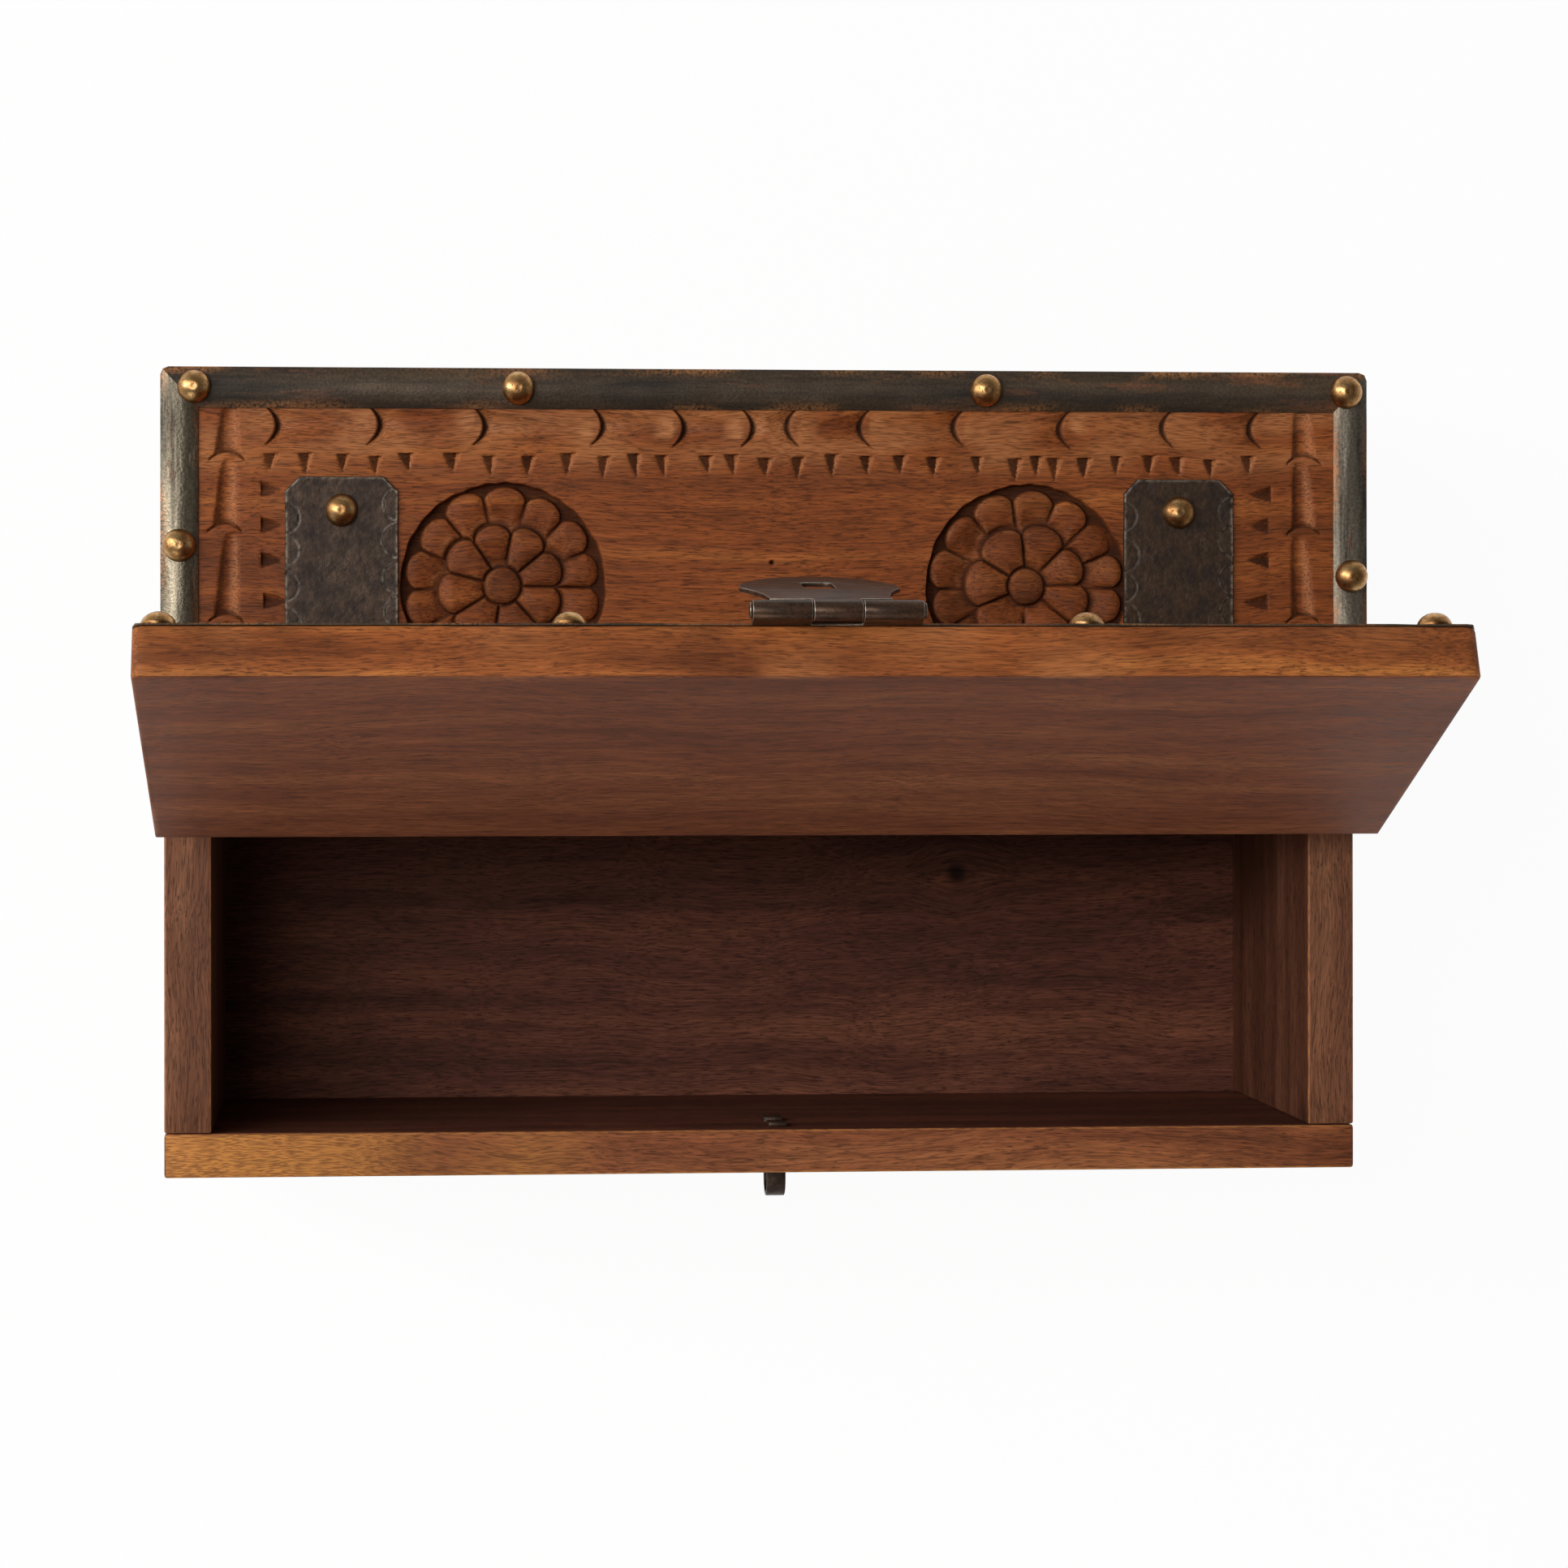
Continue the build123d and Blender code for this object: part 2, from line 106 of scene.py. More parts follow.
class Shell:   # points and faces that grow into one mesh, in millimetres, with wear and painted highlight, dirt and painted shade at each point
    def __init__(self):
        self.points, self.faces, self.count = [], [], 0
        self.marks = {"rub": [], "stain": []}

    def add(self, points, faces=None, rub=0.0, stain=0.0):   # the faces number this batch's points from 0
        points = np.asarray(points, float).reshape(-1, 3)
        start = self.count
        for key, value in (("rub", rub), ("stain", stain)):
            self.marks[key].append(np.broadcast_to(np.ravel(value), len(points)))
        self.points.append(points)
        if faces is not None:
            self.faces += (faces + start).tolist()
        self.count += len(points)
        return start

    def fan(self, ring, points, inwards):   # three-sided faces from an outline to a new point at its middle
        middle = self.add([points.mean(0)])
        pair = (np.roll(ring, -1), ring) if inwards else (ring, np.roll(ring, -1))
        self.faces += np.stack([*pair, np.full_like(ring, middle)], -1).tolist()

    def slab(self, top, faces, rim, rings, ringMarks, **marks):
        # A face, with outlines stitched on below its rim one after the other, and a closed back
        upper = self.add(top, faces, **marks) + rim
        for ring, extra in zip(rings, ringMarks):
            lower = self.add(ring, **extra) + np.arange(len(ring))
            self.faces += np.stack([upper, lower, np.roll(lower, -1), np.roll(upper, -1)], -1).tolist()
            upper = lower
        self.fan(upper, rings[-1], True)

    def tube(self, loops, **marks):   # closed loops joined one to the next, and both ends closed
        rows, cols = loops.shape[:2]
        first = self.add(loops, gridFaces(rows, cols, wrap=True), **marks) + np.arange(cols)
        self.fan(first, loops[0], True)
        self.fan(first + (rows - 1) * cols, loops[-1], False)


def dress(piece, body, node):   # puts a piece into the scene, on its body, in its node's stead
    bpy.context.scene.collection.objects.link(piece)
    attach(piece, body)
    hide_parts(node)
    return piece


def makePiece(name, node, shell, home, material, sharp=40):
    # A shell in metres, moved by its home's place, on its home's body; edges over sharp degrees stay crisp
    mesh = bpy.data.meshes.new(name)
    mesh.from_pydata((home["place"](np.concatenate(shell.points)) * mm).tolist(), [], shell.faces)
    mesh.shade_smooth()
    mesh.set_sharp_from_angle(angle=radians(sharp))
    for key, values in shell.marks.items():
        layer = mesh.attributes.new(key, "FLOAT", "POINT")
        layer.data.foreach_set("value", np.concatenate(values).astype(np.float32))
    mesh.validate()
    mesh.materials.append(material)
    return dress(bpy.data.objects.new(name, mesh), home["body"], node)


def paintFaces(piece, material, direction, least=0.7):
    # A second material where a face's normal, multiplied by the direction, comes to more than least
    piece.data.materials.append(material)
    normals = np.zeros(len(piece.data.polygons) * 3)
    piece.data.polygons.foreach_get("normal", normals)
    facing = normals.reshape(-1, 3) @ np.asarray(direction, float) > least
    piece.data.polygons.foreach_set("material_index", facing.astype(np.int32))


# Materials

def linear(code):   # an sRGB hex colour as linear red, green, blue and alpha
    values = [int(code[i:i + 2], 16) / 255 for i in (1, 3, 5)]
    return [v / 12.92 if v <= 0.04045 else ((v + 0.055) / 1.055) ** 2.4 for v in values] + [1.0]


def addNode(tree, kind, inputs=(), stops=(), out=0, **settings):
    # Each input, by its name or in order, is a value or another node's output; gives back the output wanted
    node = tree.nodes.new("ShaderNode" + kind)
    for key, value in settings.items():
        setattr(node, key, value)
    for key, value in inputs.items() if isinstance(inputs, dict) else enumerate(inputs):
        if isinstance(value, bpy.types.NodeSocket):
            tree.links.new(value, node.inputs[key])
        else:
            node.inputs[key].default_value = value
    for index, (position, colour) in enumerate(stops):
        if index == len(node.color_ramp.elements):
            node.color_ramp.elements.new(1.0)
        element = node.color_ramp.elements[index]
        element.position, element.color = position, linear(colour)
    return node.outputs[out] if node.outputs else None


def newMaterial(name):   # a material with an empty node tree
    material = bpy.data.materials.new(name)
    material.use_nodes = True
    material.node_tree.nodes.clear()
    return material, material.node_tree


# Sheesham, an Indian rosewood, planed by hand and oiled: close wavy grain in orange and dark brown, short
# dark pores that hold stain, and a satin surface that shows the grain more than the lights
woodGrain = {
    "warpSize": 9.0, "warpDetail": 2.5, "warpReach": 0.020,   # wanders about 4 mm, in waves 110 to 20 mm long
    "layers": {   # how often each repeats in a metre, along the grain and twice across it, and its detail
        "bands": ((4.5, 85, 85), 5.0),        # growth bands 12 mm apart
        "streaks": ((9, 120, 120), 4.0),      # dark heart streaks 8 mm apart
        "fibres": ((70, 1700, 1700), 3.0),    # fibres 0.6 mm apart, coarser than real ones, so that they show
        "pores": ((200, 2600, 2600), 1.0),    # pores 0.4 mm wide and 5 mm long, drawn coarser too
        "clouds": ((30, 75, 75), 3.0),        # uneven oil, 33 mm by 13 mm
    },
    "bandStops": (0.27, 0.5, 0.73), "streakAt": (0.54, 0.74), "poreAt": (0.57, 0.64), "poreShare": 0.62,
    "tones": {"fibres": (0.58, 1.42), "clouds": (0.90, 1.10)},   # darkest and lightest share of the colour
    "fleckAt": (0.4, 0.56), "fleckLeast": 0.4,   # open pores keep their colour where wood is rubbed
    "dirtAndShade": "#1E0E07", "dirtDull": 0.45, "glossSpread": (-0.08, 0.1), "poreDrop": -1.5, "bumpReach": 0.0003,
    "knot": "#0C0705", "knotSize": (0.0015, 0.0048),   # a knot 6 mm across
    "knotShare": 0.85, "knotBend": 0.022,
}


def oiledWood(name, colours, grainTurn=(0, 0, 0), offset=(0, 0, 0), roughness=0.5, poreDepth=0.35,
              streakShare=0.42, worn="#B9794A", sheen=0.18, fineness=1.0, knot=None):
    grain, heart = woodGrain, colours[3]
    material, tree = newMaterial(name)
    place = addNode(tree, "TexCoord", out="Object")
    if knot:   # the grain parts round a knot
        away = addNode(tree, "VectorMath", (place, knot), operation="SUBTRACT")
        reach = addNode(tree, "VectorMath", (away,), out="Value", operation="LENGTH")
        push = addNode(tree, "MapRange", (reach, 0, grain["knotBend"], grain["knotShare"], 0))
        away = addNode(tree, "VectorMath", {0: away, "Scale": push}, operation="SCALE")
        place = addNode(tree, "VectorMath", (place, away), operation="SUBTRACT")
    place = addNode(tree, "Mapping", {"Vector": place, "Rotation": grainTurn, "Location": offset})
    warp = {"Vector": place, "Scale": grain["warpSize"], "Detail": grain["warpDetail"]}
    slow = addNode(tree, "TexNoise", warp, out="Color")
    slow = addNode(tree, "VectorMath", (slow, (0.5, 0.5, 0.5)), operation="SUBTRACT")
    slow = addNode(tree, "VectorMath", {0: slow, "Scale": grain["warpReach"]}, operation="SCALE")
    place = addNode(tree, "VectorMath", (place, slow), operation="ADD")
    layers = {}
    for layer, (rates, detail) in grain["layers"].items():
        scale = [rate * (fineness if layer in ("fibres", "pores") else 1) for rate in rates]
        stretched = addNode(tree, "VectorMath", (place, scale), operation="MULTIPLY")
        noise = {"Vector": stretched, "Scale": 1.0, "Detail": detail, "Roughness": 0.62}
        layers[layer] = addNode(tree, "TexNoise", noise)
    colour = addNode(tree, "ValToRGB", (layers["bands"],), stops=list(zip(grain["bandStops"], colours)))
    share = addNode(tree, "MapRange", (layers["streaks"], *grain["streakAt"], 0, streakShare))
    colour = addNode(tree, "Mix", {0: share, 6: colour, 7: linear(heart)}, out=2, data_type="RGBA")
    for layer, (low, high) in grain["tones"].items():
        tone = addNode(tree, "MapRange", (layers[layer], 0.3, 0.7, low, high))
        colour = addNode(tree, "VectorMath", {0: colour, "Scale": tone}, operation="SCALE")
    pores = addNode(tree, "MapRange", (layers["pores"], *grain["poreAt"], 0, 1))
    poreShare = addNode(tree, "Math", (pores, grain["poreShare"]), operation="MULTIPLY")
    rub, stain = (addNode(tree, "Attribute", out="Fac", attribute_name=mark) for mark in ("rub", "stain"))
    flecks = addNode(tree, "MapRange", (layers["pores"], *grain["fleckAt"], 1, grain["fleckLeast"]))
    wearAndHighlightShare = addNode(tree, "Math", (rub, flecks), operation="MULTIPLY")
    # the worn colour paints both rubbed wear and painted highlights, the dirt colour both dirt and painted
    # shade
    coats = [(poreShare, heart), (wearAndHighlightShare, worn), (stain, grain["dirtAndShade"])]
    if knot:
        share = addNode(tree, "MapRange", (reach, *grain["knotSize"], grain["knotShare"], 0))
        coats.append((share, grain["knot"]))
    for share, tint in coats:
        colour = addNode(tree, "Mix", {0: share, 6: colour, 7: linear(tint)}, out=2, data_type="RGBA")
    drop = addNode(tree, "Math", (pores, grain["poreDrop"]), operation="MULTIPLY")
    height = addNode(tree, "Math", (layers["fibres"], drop), operation="ADD")
    bump = addNode(tree, "Bump", {"Height": height, "Strength": poreDepth, "Distance": grain["bumpReach"]})
    least, most = (roughness + change for change in grain["glossSpread"])
    gloss = addNode(tree, "MapRange", (layers["fibres"], 0.3, 0.7, least, most))
    gloss = addNode(tree, "Math", (stain, grain["dirtDull"], gloss), operation="MULTIPLY_ADD")
    surface = {"Base Color": colour, "Roughness": gloss, "Normal": bump}
    surface.update({"IOR": 1.5, "Specular IOR Level": sheen})
    addNode(tree, "OutputMaterial", {"Surface": addNode(tree, "BsdfPrincipled", surface)})
    return material


# Blackened wrought iron: forge scale over dark metal, rubbed bare on the crown, brown rust where damp has sat
ironLook = {
    "cloudStops": (0.35, 0.65), "pitTone": (0.68, 1.32), "rubAt": (0.35, 0.6), "dirtAndShade": "#120E0B",
    "rustDull": 0.35, "glossSpread": (0.12, -0.07), "bumpReach": 0.0002,
}


def blackenedIron(name, colours, metallic=0.75, roughness=0.42, cloud=(55, 55, 55), patch=(38, 38, 38),
                  patchAt=(0.56, 0.68), turn=(0, 0, 0), pitSize=900.0, pitDepth=0.25):
    look, (base, sheen, rust, rubbed) = ironLook, colours
    material, tree = newMaterial(name)
    place = addNode(tree, "TexCoord", out="Object")
    place = addNode(tree, "Mapping", {"Vector": place, "Rotation": turn})
    layers = []
    for scale, detail in ((cloud, 5.0), (patch, 7.0)):
        stretched = addNode(tree, "VectorMath", (place, scale), operation="MULTIPLY")
        noise = {"Vector": stretched, "Scale": 1.0, "Detail": detail, "Roughness": 0.65}
        layers.append(addNode(tree, "TexNoise", noise))
    clouds, patches = layers
    pits = addNode(tree, "TexNoise", {"Vector": place, "Scale": pitSize, "Detail": 3.0})
    colour = addNode(tree, "ValToRGB", (clouds,), stops=list(zip(look["cloudStops"], (base, sheen))))
    rustShare = addNode(tree, "MapRange", (patches, *patchAt, 0, 1))
    colour = addNode(tree, "Mix", {0: rustShare, 6: colour, 7: linear(rust)}, out=2, data_type="RGBA")
    tone = addNode(tree, "MapRange", (pits, 0.3, 0.7, *look["pitTone"]))
    colour = addNode(tree, "VectorMath", {0: colour, "Scale": tone}, operation="SCALE")
    rub, stain = (addNode(tree, "Attribute", out="Fac", attribute_name=mark) for mark in ("rub", "stain"))
    specks = addNode(tree, "MapRange", (pits, *look["rubAt"], 0, 1))
    wearAndHighlightShare = addNode(tree, "Math", (rub, specks), operation="MULTIPLY")
    for share, tint in ((wearAndHighlightShare, rubbed), (stain, look["dirtAndShade"])):
        colour = addNode(tree, "Mix", {0: share, 6: colour, 7: linear(tint)}, out=2, data_type="RGBA")
    metal = addNode(tree, "MapRange", (rustShare, 0, 1, metallic, metallic * look["rustDull"]))
    least, most = (roughness + change for change in look["glossSpread"])
    gloss = addNode(tree, "MapRange", (clouds, 0.3, 0.7, least, most))
    height = addNode(tree, "Math", (pits, rustShare), operation="ADD")
    bump = addNode(tree, "Bump", {"Height": height, "Strength": pitDepth, "Distance": look["bumpReach"]})
    surface = {"Base Color": colour, "Metallic": metal, "Roughness": gloss, "Normal": bump}
    addNode(tree, "OutputMaterial", {"Surface": addNode(tree, "BsdfPrincipled", surface)})
    return material


# Aged brass: pressed domes gone coppery at the rim, with a few dark pin holes
brassLook = {
    "cloudSize": 330.0, "pitSize": 1500.0,   # clouds 3 mm across, pin holes under 1 mm
    "stops": ((0.3, "#8A5D38"), (0.5, "#B78A57"), (0.7, "#D8B27C")), "pit": "#3A2212", "dirtAndShade": "#4A2A16",
    "pitAt": (0.62, 0.7), "pitShare": 0.8, "gloss": (0.42, 0.26), "bump": 0.25, "bumpReach": 0.0002,
}


def agedBrass(name):
    look = brassLook
    material, tree = newMaterial(name)
    place = addNode(tree, "TexCoord", out="Object")
    noise = {"Vector": place, "Scale": look["cloudSize"], "Detail": 4.0, "Roughness": 0.65}
    clouds = addNode(tree, "TexNoise", noise)
    pits = addNode(tree, "TexNoise", {"Vector": place, "Scale": look["pitSize"], "Detail": 2.0})
    colour = addNode(tree, "ValToRGB", (clouds,), stops=look["stops"])
    pitShare = addNode(tree, "MapRange", (pits, *look["pitAt"], 0, look["pitShare"]))
    stain = addNode(tree, "Attribute", out="Fac", attribute_name="stain")
    for share, tint in ((pitShare, look["pit"]), (stain, look["dirtAndShade"])):
        colour = addNode(tree, "Mix", {0: share, 6: colour, 7: linear(tint)}, out=2, data_type="RGBA")
    gloss = addNode(tree, "MapRange", (clouds, 0.3, 0.7, *look["gloss"]))
    height = addNode(tree, "Math", (clouds, pitShare), operation="SUBTRACT")
    bump = addNode(tree, "Bump", {"Height": height, "Strength": look["bump"], "Distance": look["bumpReach"]})
    surface = {"Base Color": colour, "Metallic": 1.0, "Roughness": gloss, "Normal": bump}
    addNode(tree, "OutputMaterial", {"Surface": addNode(tree, "BsdfPrincipled", surface)})
    return material


woodColours = {   # dark band, middle, pale band, heart streak
    "board": ("#683618", "#87461F", "#AA642F", "#3A1D0E"),
    "lid": ("#6E3819", "#985428", "#BC763A", "#4C2310"),
    "under": ("#64351F", "#794329", "#8B5331", "#462418"),
    "front": ("#61351F", "#82492B", "#9E623A", "#3F2113"),
    "sides": ("#54301F", "#71462F", "#8A5B3F", "#351C12"),
    "inside": ("#47291E", "#5F372A", "#784833", "#251410"),
    "insideEnds": ("#4A2A1E", "#633C2B", "#774C38", "#24130D"),
}
acrossTurn = (0, 0, pi / 2)
lidTurn = (radians(box["lidOpen"]), 0, 0)
rearWood = oiledWood("oiledSheeshamRear", woodColours["board"], offset=(0.31, 0.2, 0.05), streakShare=0.21)
lidWood = oiledWood("oiledSheeshamLid", woodColours["lid"], grainTurn=lidTurn, offset=(1.2, 0.1, 0.3))
lidUnderWood = oiledWood("oiledSheeshamLidUnderside", woodColours["under"], grainTurn=(radians(100), 0, 0),
                         offset=(2.1, 0.4, 0.1), roughness=0.55, poreDepth=0.12, streakShare=0.175, sheen=0.2,
                         fineness=0.8)
wallWood = oiledWood("oiledSheeshamFront", woodColours["front"], offset=(0.7, 0.5, 0.9), streakShare=0.28,
                     worn="#CB8740")
sideWood = oiledWood("oiledSheeshamSides", woodColours["sides"], grainTurn=acrossTurn, offset=(0.2, 1.5, 0.4),
                     streakShare=0.28)
insideWood = oiledWood("stainedSheeshamInside", woodColours["inside"], offset=(0.9, 0.8, 0.2), roughness=0.6,
                       streakShare=0.35, sheen=0.1, knot=(0.078, -0.0368, 0.012))
insideEndWood = oiledWood("stainedSheeshamInsideEnds", woodColours["insideEnds"], grainTurn=acrossTurn,
                          offset=(1.2, 0.3, 0.6), roughness=0.6, sheen=0.1)

ironColours = {   # forge scale, its sheen, rust, rubbed bare
    "strip": ("#2A2119", "#5A4834", "#6E4427", "#A87040"),
    "sideStrip": ("#2E2920", "#857A66", "#5A3A22", "#8E5A34"),
    "paleCopyStrip": ("#3C362D", "#8A8070", "#5A3A22", "#8E5A34"),
    "leaf": ("#28180F", "#432F1D", "#341F16", "#A39888"),
    "hasp": ("#22150C", "#5E4431", "#452A1A", "#A59C90"),
    "worn": ("#7D7264", "#A79C8E", "#6E5440", "#C0B6A8"),
    "nail": ("#3A3029", "#5A5048", "#5A3822", "#8A7F74"),
}
drawnStrip = {"cloud": (14, 170, 170), "pitSize": 1100.0, "pitDepth": 0.5}   # streaks 70 mm long, 6 mm apart
sideStrip = {**drawnStrip, "patch": (30, 120, 120), "patchAt": (0.58, 0.66)}
stripIron = blackenedIron("blackenedIronStrip", ironColours["strip"], metallic=0.4, roughness=0.5,
                          patch=(22, 120, 120), patchAt=(0.53, 0.64), **drawnStrip)
sideStripIron = blackenedIron("blackenedIronSideStrip", ironColours["sideStrip"], roughness=0.3,
                              turn=acrossTurn, **sideStrip)
# a paler, rougher copy of the side-strip iron for the right strip: painted light on its outer half, which
# faces away from the key light
paleCopyStripIron = blackenedIron("blackenedIronPaleCopyStrip", ironColours["paleCopyStrip"], roughness=0.44,
                              turn=acrossTurn, **sideStrip)
lidSideStripIron = blackenedIron("blackenedIronLidSideStrip", ironColours["sideStrip"], roughness=0.3,
                                 turn=(lidTurn[0], 0, pi / 2), **sideStrip)
leafIron = blackenedIron("forgedIronLeaf", ironColours["leaf"], metallic=0.4, roughness=0.48,
                         cloud=(170, 170, 170), patch=(60, 60, 60), pitSize=620.0, pitDepth=0.9)
haspIron = blackenedIron("forgedIronHasp", ironColours["hasp"], metallic=0.6, roughness=0.38,
                         cloud=(60, 420, 420), patch=(120, 120, 120), pitSize=1600.0)
# Edges of the hasp that hands and the staple have rubbed to bare metal: a thin bright line round dark iron
wornIron = blackenedIron("rubbedIronEdge", ironColours["worn"], metallic=0.8, roughness=0.34)
# Square cut nails: sheared steel, dull grey with rust in small spots
nailSteel = blackenedIron("cutNailSteel", ironColours["nail"], roughness=0.5, patch=(200, 200, 200))
domeBrass = agedBrass("agedBrassDome")
print("materials made")


# The carcass boards: a rounded rectangle carried along the board, closed with rounded ends
plank = {
    "edgeRound": 0.7, "faceGap": 0.12, "edgeWear": 0.8, "step": 12.0,
    "flatShares": (0.03, 0.05, 0.5, 0.95, 0.97),   # points along each flat side, from corner to corner
}
sunFade = {   # a golden patch along the top of the front wall, strongest at the left
    "share": 0.95, "pitch": 60.0, "seed": 9, "uneven": 0.5, "middle": -60.0, "reach": 110.0,
    "span": (-0.2, 1.1), "down": (3.5, 1.0), "end": (0.2, 0.7),
}


def plankShell(low, high, axis, faded):
    # Section: four quarter circles joined by flat sides. Along the board it shrinks into both ends
    low, high = np.array(low, float), np.array(high, float)
    pair = [i for i in range(3) if i != axis]
    length, radius = high[axis] - low[axis], plank["edgeRound"]
    ends = np.array([0, radius * 0.3, radius])
    between = np.linspace(0, length, max(int(length / plank["step"]), 2))[1:-1]
    alongs = np.concatenate([ends, between, length - ends[::-1]])
    shrink = np.array([radius, radius * 0.3, 0])
    insets = np.concatenate([shrink, np.zeros(len(between)), shrink[::-1]])[:, None, None]
    corners = np.array([(1, 1), (-1, 1), (-1, -1), (1, -1)], float)[:, None]
    share = np.concatenate([np.zeros(4), plank["flatShares"]])[:, None]
    turn = np.concatenate([np.linspace(0, pi / 2, 4), np.full(len(plank["flatShares"]), pi / 2)])
    angle = (np.arange(4)[:, None] * pi / 2 + turn).ravel()
    place = (corners + (np.roll(corners, -1, 0) - corners) * share).reshape(-1, 2)
    outward = np.stack([np.cos(angle), np.sin(angle)], -1)
    middle, half = (low + high)[pair] / 2, (high - low)[pair] / 2
    section = (half - radius) * place + radius * outward
    points = np.zeros((len(alongs), len(section), 3))
    points[..., axis] = (low[axis] + alongs)[:, None]
    points[..., pair] = middle + section * (1 - insets / half)
    rub = np.where(np.min(outward * place, -1) > 0.3, plank["edgeWear"], 0.0)
    rub = np.broadcast_to(rub, points.shape[:2])
    if axis == 1:   # keeps the faces pointing outwards
        points, rub = points[:, ::-1], rub[:, ::-1]
    if faded:
        x, z = points[..., 0], points[..., 2]
        uneven = sunFade["uneven"] * wobble(x, points[..., 1], sunFade["pitch"], sunFade["seed"])
        patch = smooth(uneven - (x - sunFade["middle"]) / sunFade["reach"], *sunFade["span"])
        nearTop = smooth(z, high[2] - sunFade["down"][0], high[2] - sunFade["down"][1])
        nearEnd = smooth(x, low[0] + sunFade["end"][0], low[0] + sunFade["end"][1])
        rub = np.maximum(rub, sunFade["share"] * patch * nearTop * nearEnd)
    shell = Shell()
    shell.tube(points, rub=rub)
    return shell


floorTop, wallTop = box["floorThick"], box["wallTop"]
frontIn, backIn = -halfDepth + box["frontThick"], halfDepth - box["backThick"]
sideIn = halfWidth - box["sideThick"]
gap = plank["faceGap"]
longWoods, endWoods = (0, wallWood, insideWood), (1, sideWood, insideEndWood)   # grain axis, outside, inside
carcass = {   # lower corner, upper corner, woods, and the way that the inside faces
    "bottom_board": ((-halfWidth, -halfDepth, 0), (halfWidth, halfDepth, floorTop), longWoods, (0, 0, 1)),
    "front_wall": ((-halfWidth, -halfDepth, floorTop), (halfWidth, frontIn, wallTop), longWoods, (0, 1, 0)),
    "back_wall": ((-halfWidth, backIn, floorTop), (halfWidth, halfDepth, wallTop), longWoods, (0, -1, 0)),
    "left_wall": ((-halfWidth, frontIn, floorTop), (-sideIn, backIn, wallTop), endWoods, (1, 0, 0)),
    "right_wall": ((sideIn, frontIn, floorTop), (halfWidth, backIn, wallTop), endWoods, (-1, 0, 0)),
}
for node, (low, high, (axis, outside, inside), facing) in carcass.items():
    shell = plankShell(np.array(low) + gap, np.array(high) - gap, axis, node == "front_wall")
    board = makePiece(node + "Piece", node, shell, onBox, outside)
    paintFaces(board, inside, facing)
print("carcass boards made")


# The carving on both top boards, in the board's own drawing, with its hinge edge at y 0 and its face at z 0
carving = {
    "border": 18.0,   # middle of the scooped border, from the outer edge
    "stops": (-155.8, -124.0, -91.3, -54.4, -28.9, -7.3, 7.3, 30.2, 60.0, 93.6, 126.5, 154.5),   # along x
    "chips": (-156.7, -145.4, -133.9, -123.7, -113.3, -99.5, -87.8, -76.3, -64.2, -52.8, -42.2, -33.5, -19.7,
              -11.6, -1.6, 19.2, 8.4, 30.5, 40.9, 51.5, 65.7, 77.3, 84.1, 90.0, 99.2, 109.5, 120.0, 129.7,
              139.8, 152.0),
    "chipTop": 26.7, "chipLong": 7.1, "chipWide": 5.6, "chipDepth": 2.1,
    "tongues": (27.3, 49.7, 77.7, 101.0), "tongueStart": 11.0, "tongueIn": 20.2,   # side flutes, from edges
    "sideChips": (38.0, 48.7, 59.4, 72.9, 86.0, 98.5, 110.0), "sideChipIn": 31.0,
    "sideChipLong": 7.6, "sideChipWide": 5.5,
    "lead": 1.4,   # each stop's deepest line lies this far before its mark
    "handled": (36.0, 24.0), "handledShare": 0.68,   # hands rub the last 24 mm before the outer edge
    "hingeEase": 1.5,   # the hinge edge is planed off at 45 degrees
    "zoneRows": (10, 35), "zoneColumns": (145, 181), "zoneFoot": 8,   # where the face is worth splitting
}
borderGouge = {"depth": 2.5, "floor": 0.9, "radius": 8.5, "bulge": 3.0, "half": 5.9, "taper": 0.6}
tongueGouge = {"depth": 2.0, "floor": 1.6, "radius": 4.4, "bulge": 2.4, "half": 5.4, "taper": 0.3}
# A plunge fades over its length, and the gouge polishes the end of each scoop
toolMarks = {"slitDepth": 1.1, "slitHalf": 0.36, "plunge": 3.4, "polishLong": 9.0, "polishHalf": 4.6}

# Two-row rosettes cut by eye: the middle of each petal in degrees from the long side
rosette = {
    "apart": 165.2, "shift": -1.2, "back": 67.8, "radius": 32.0, "ground": 3.3, "boss": 5.9, "bossTop": -0.05,
    "left": {
        "outer": (10, 34.6, 60.6, 88, 117, 142.6, 170, 195.7, 221, 246, 271.5, 297, 322, 347.6),
        "inner": (20.8, 59, 102.6, 144, 189, 234, 287.4, 336.5)},
    "right": {
        "outer": (10.3, 33.3, 56.7, 85, 113.3, 141.8, 168.6, 195, 220.5, 246, 271.5, 297, 322, 347.5),
        "inner": (25, 66.7, 122, 176, 230.7, 303, 338.3)},
    # Each row: reach of its petals, roundness of their ends, their crown's height, its climb from a radius
    # and its limit, and the radius about which they lean
    "outerRow": {
        "reach": 31.2, "roundness": 5.4, "top": -1.1, "climb": 0.055, "from": 24, "most": -0.1, "lean": 26},
    "innerRow": {
        "reach": 20.3, "roundness": 5.0, "top": -0.3, "climb": 0.045, "from": 13, "most": 0.05, "lean": 14},
    "grooveDepth": 1.0, "grooveHalf": 0.5, "pillowDepth": 1.6, "pillowWide": 1.7, "tilt": 0.27,
    "reachSpread": (-1.1, 0.5), "shades": (0.02, 0.3), "groundDirtAndShade": 0.78, "edgeDirtAndShade": 0.55, "innerRowShadow": 0.45,
    "rimHighlight": 0.55, "lit": 135.0,   # a painted highlight on the rims towards this side, in degrees
}


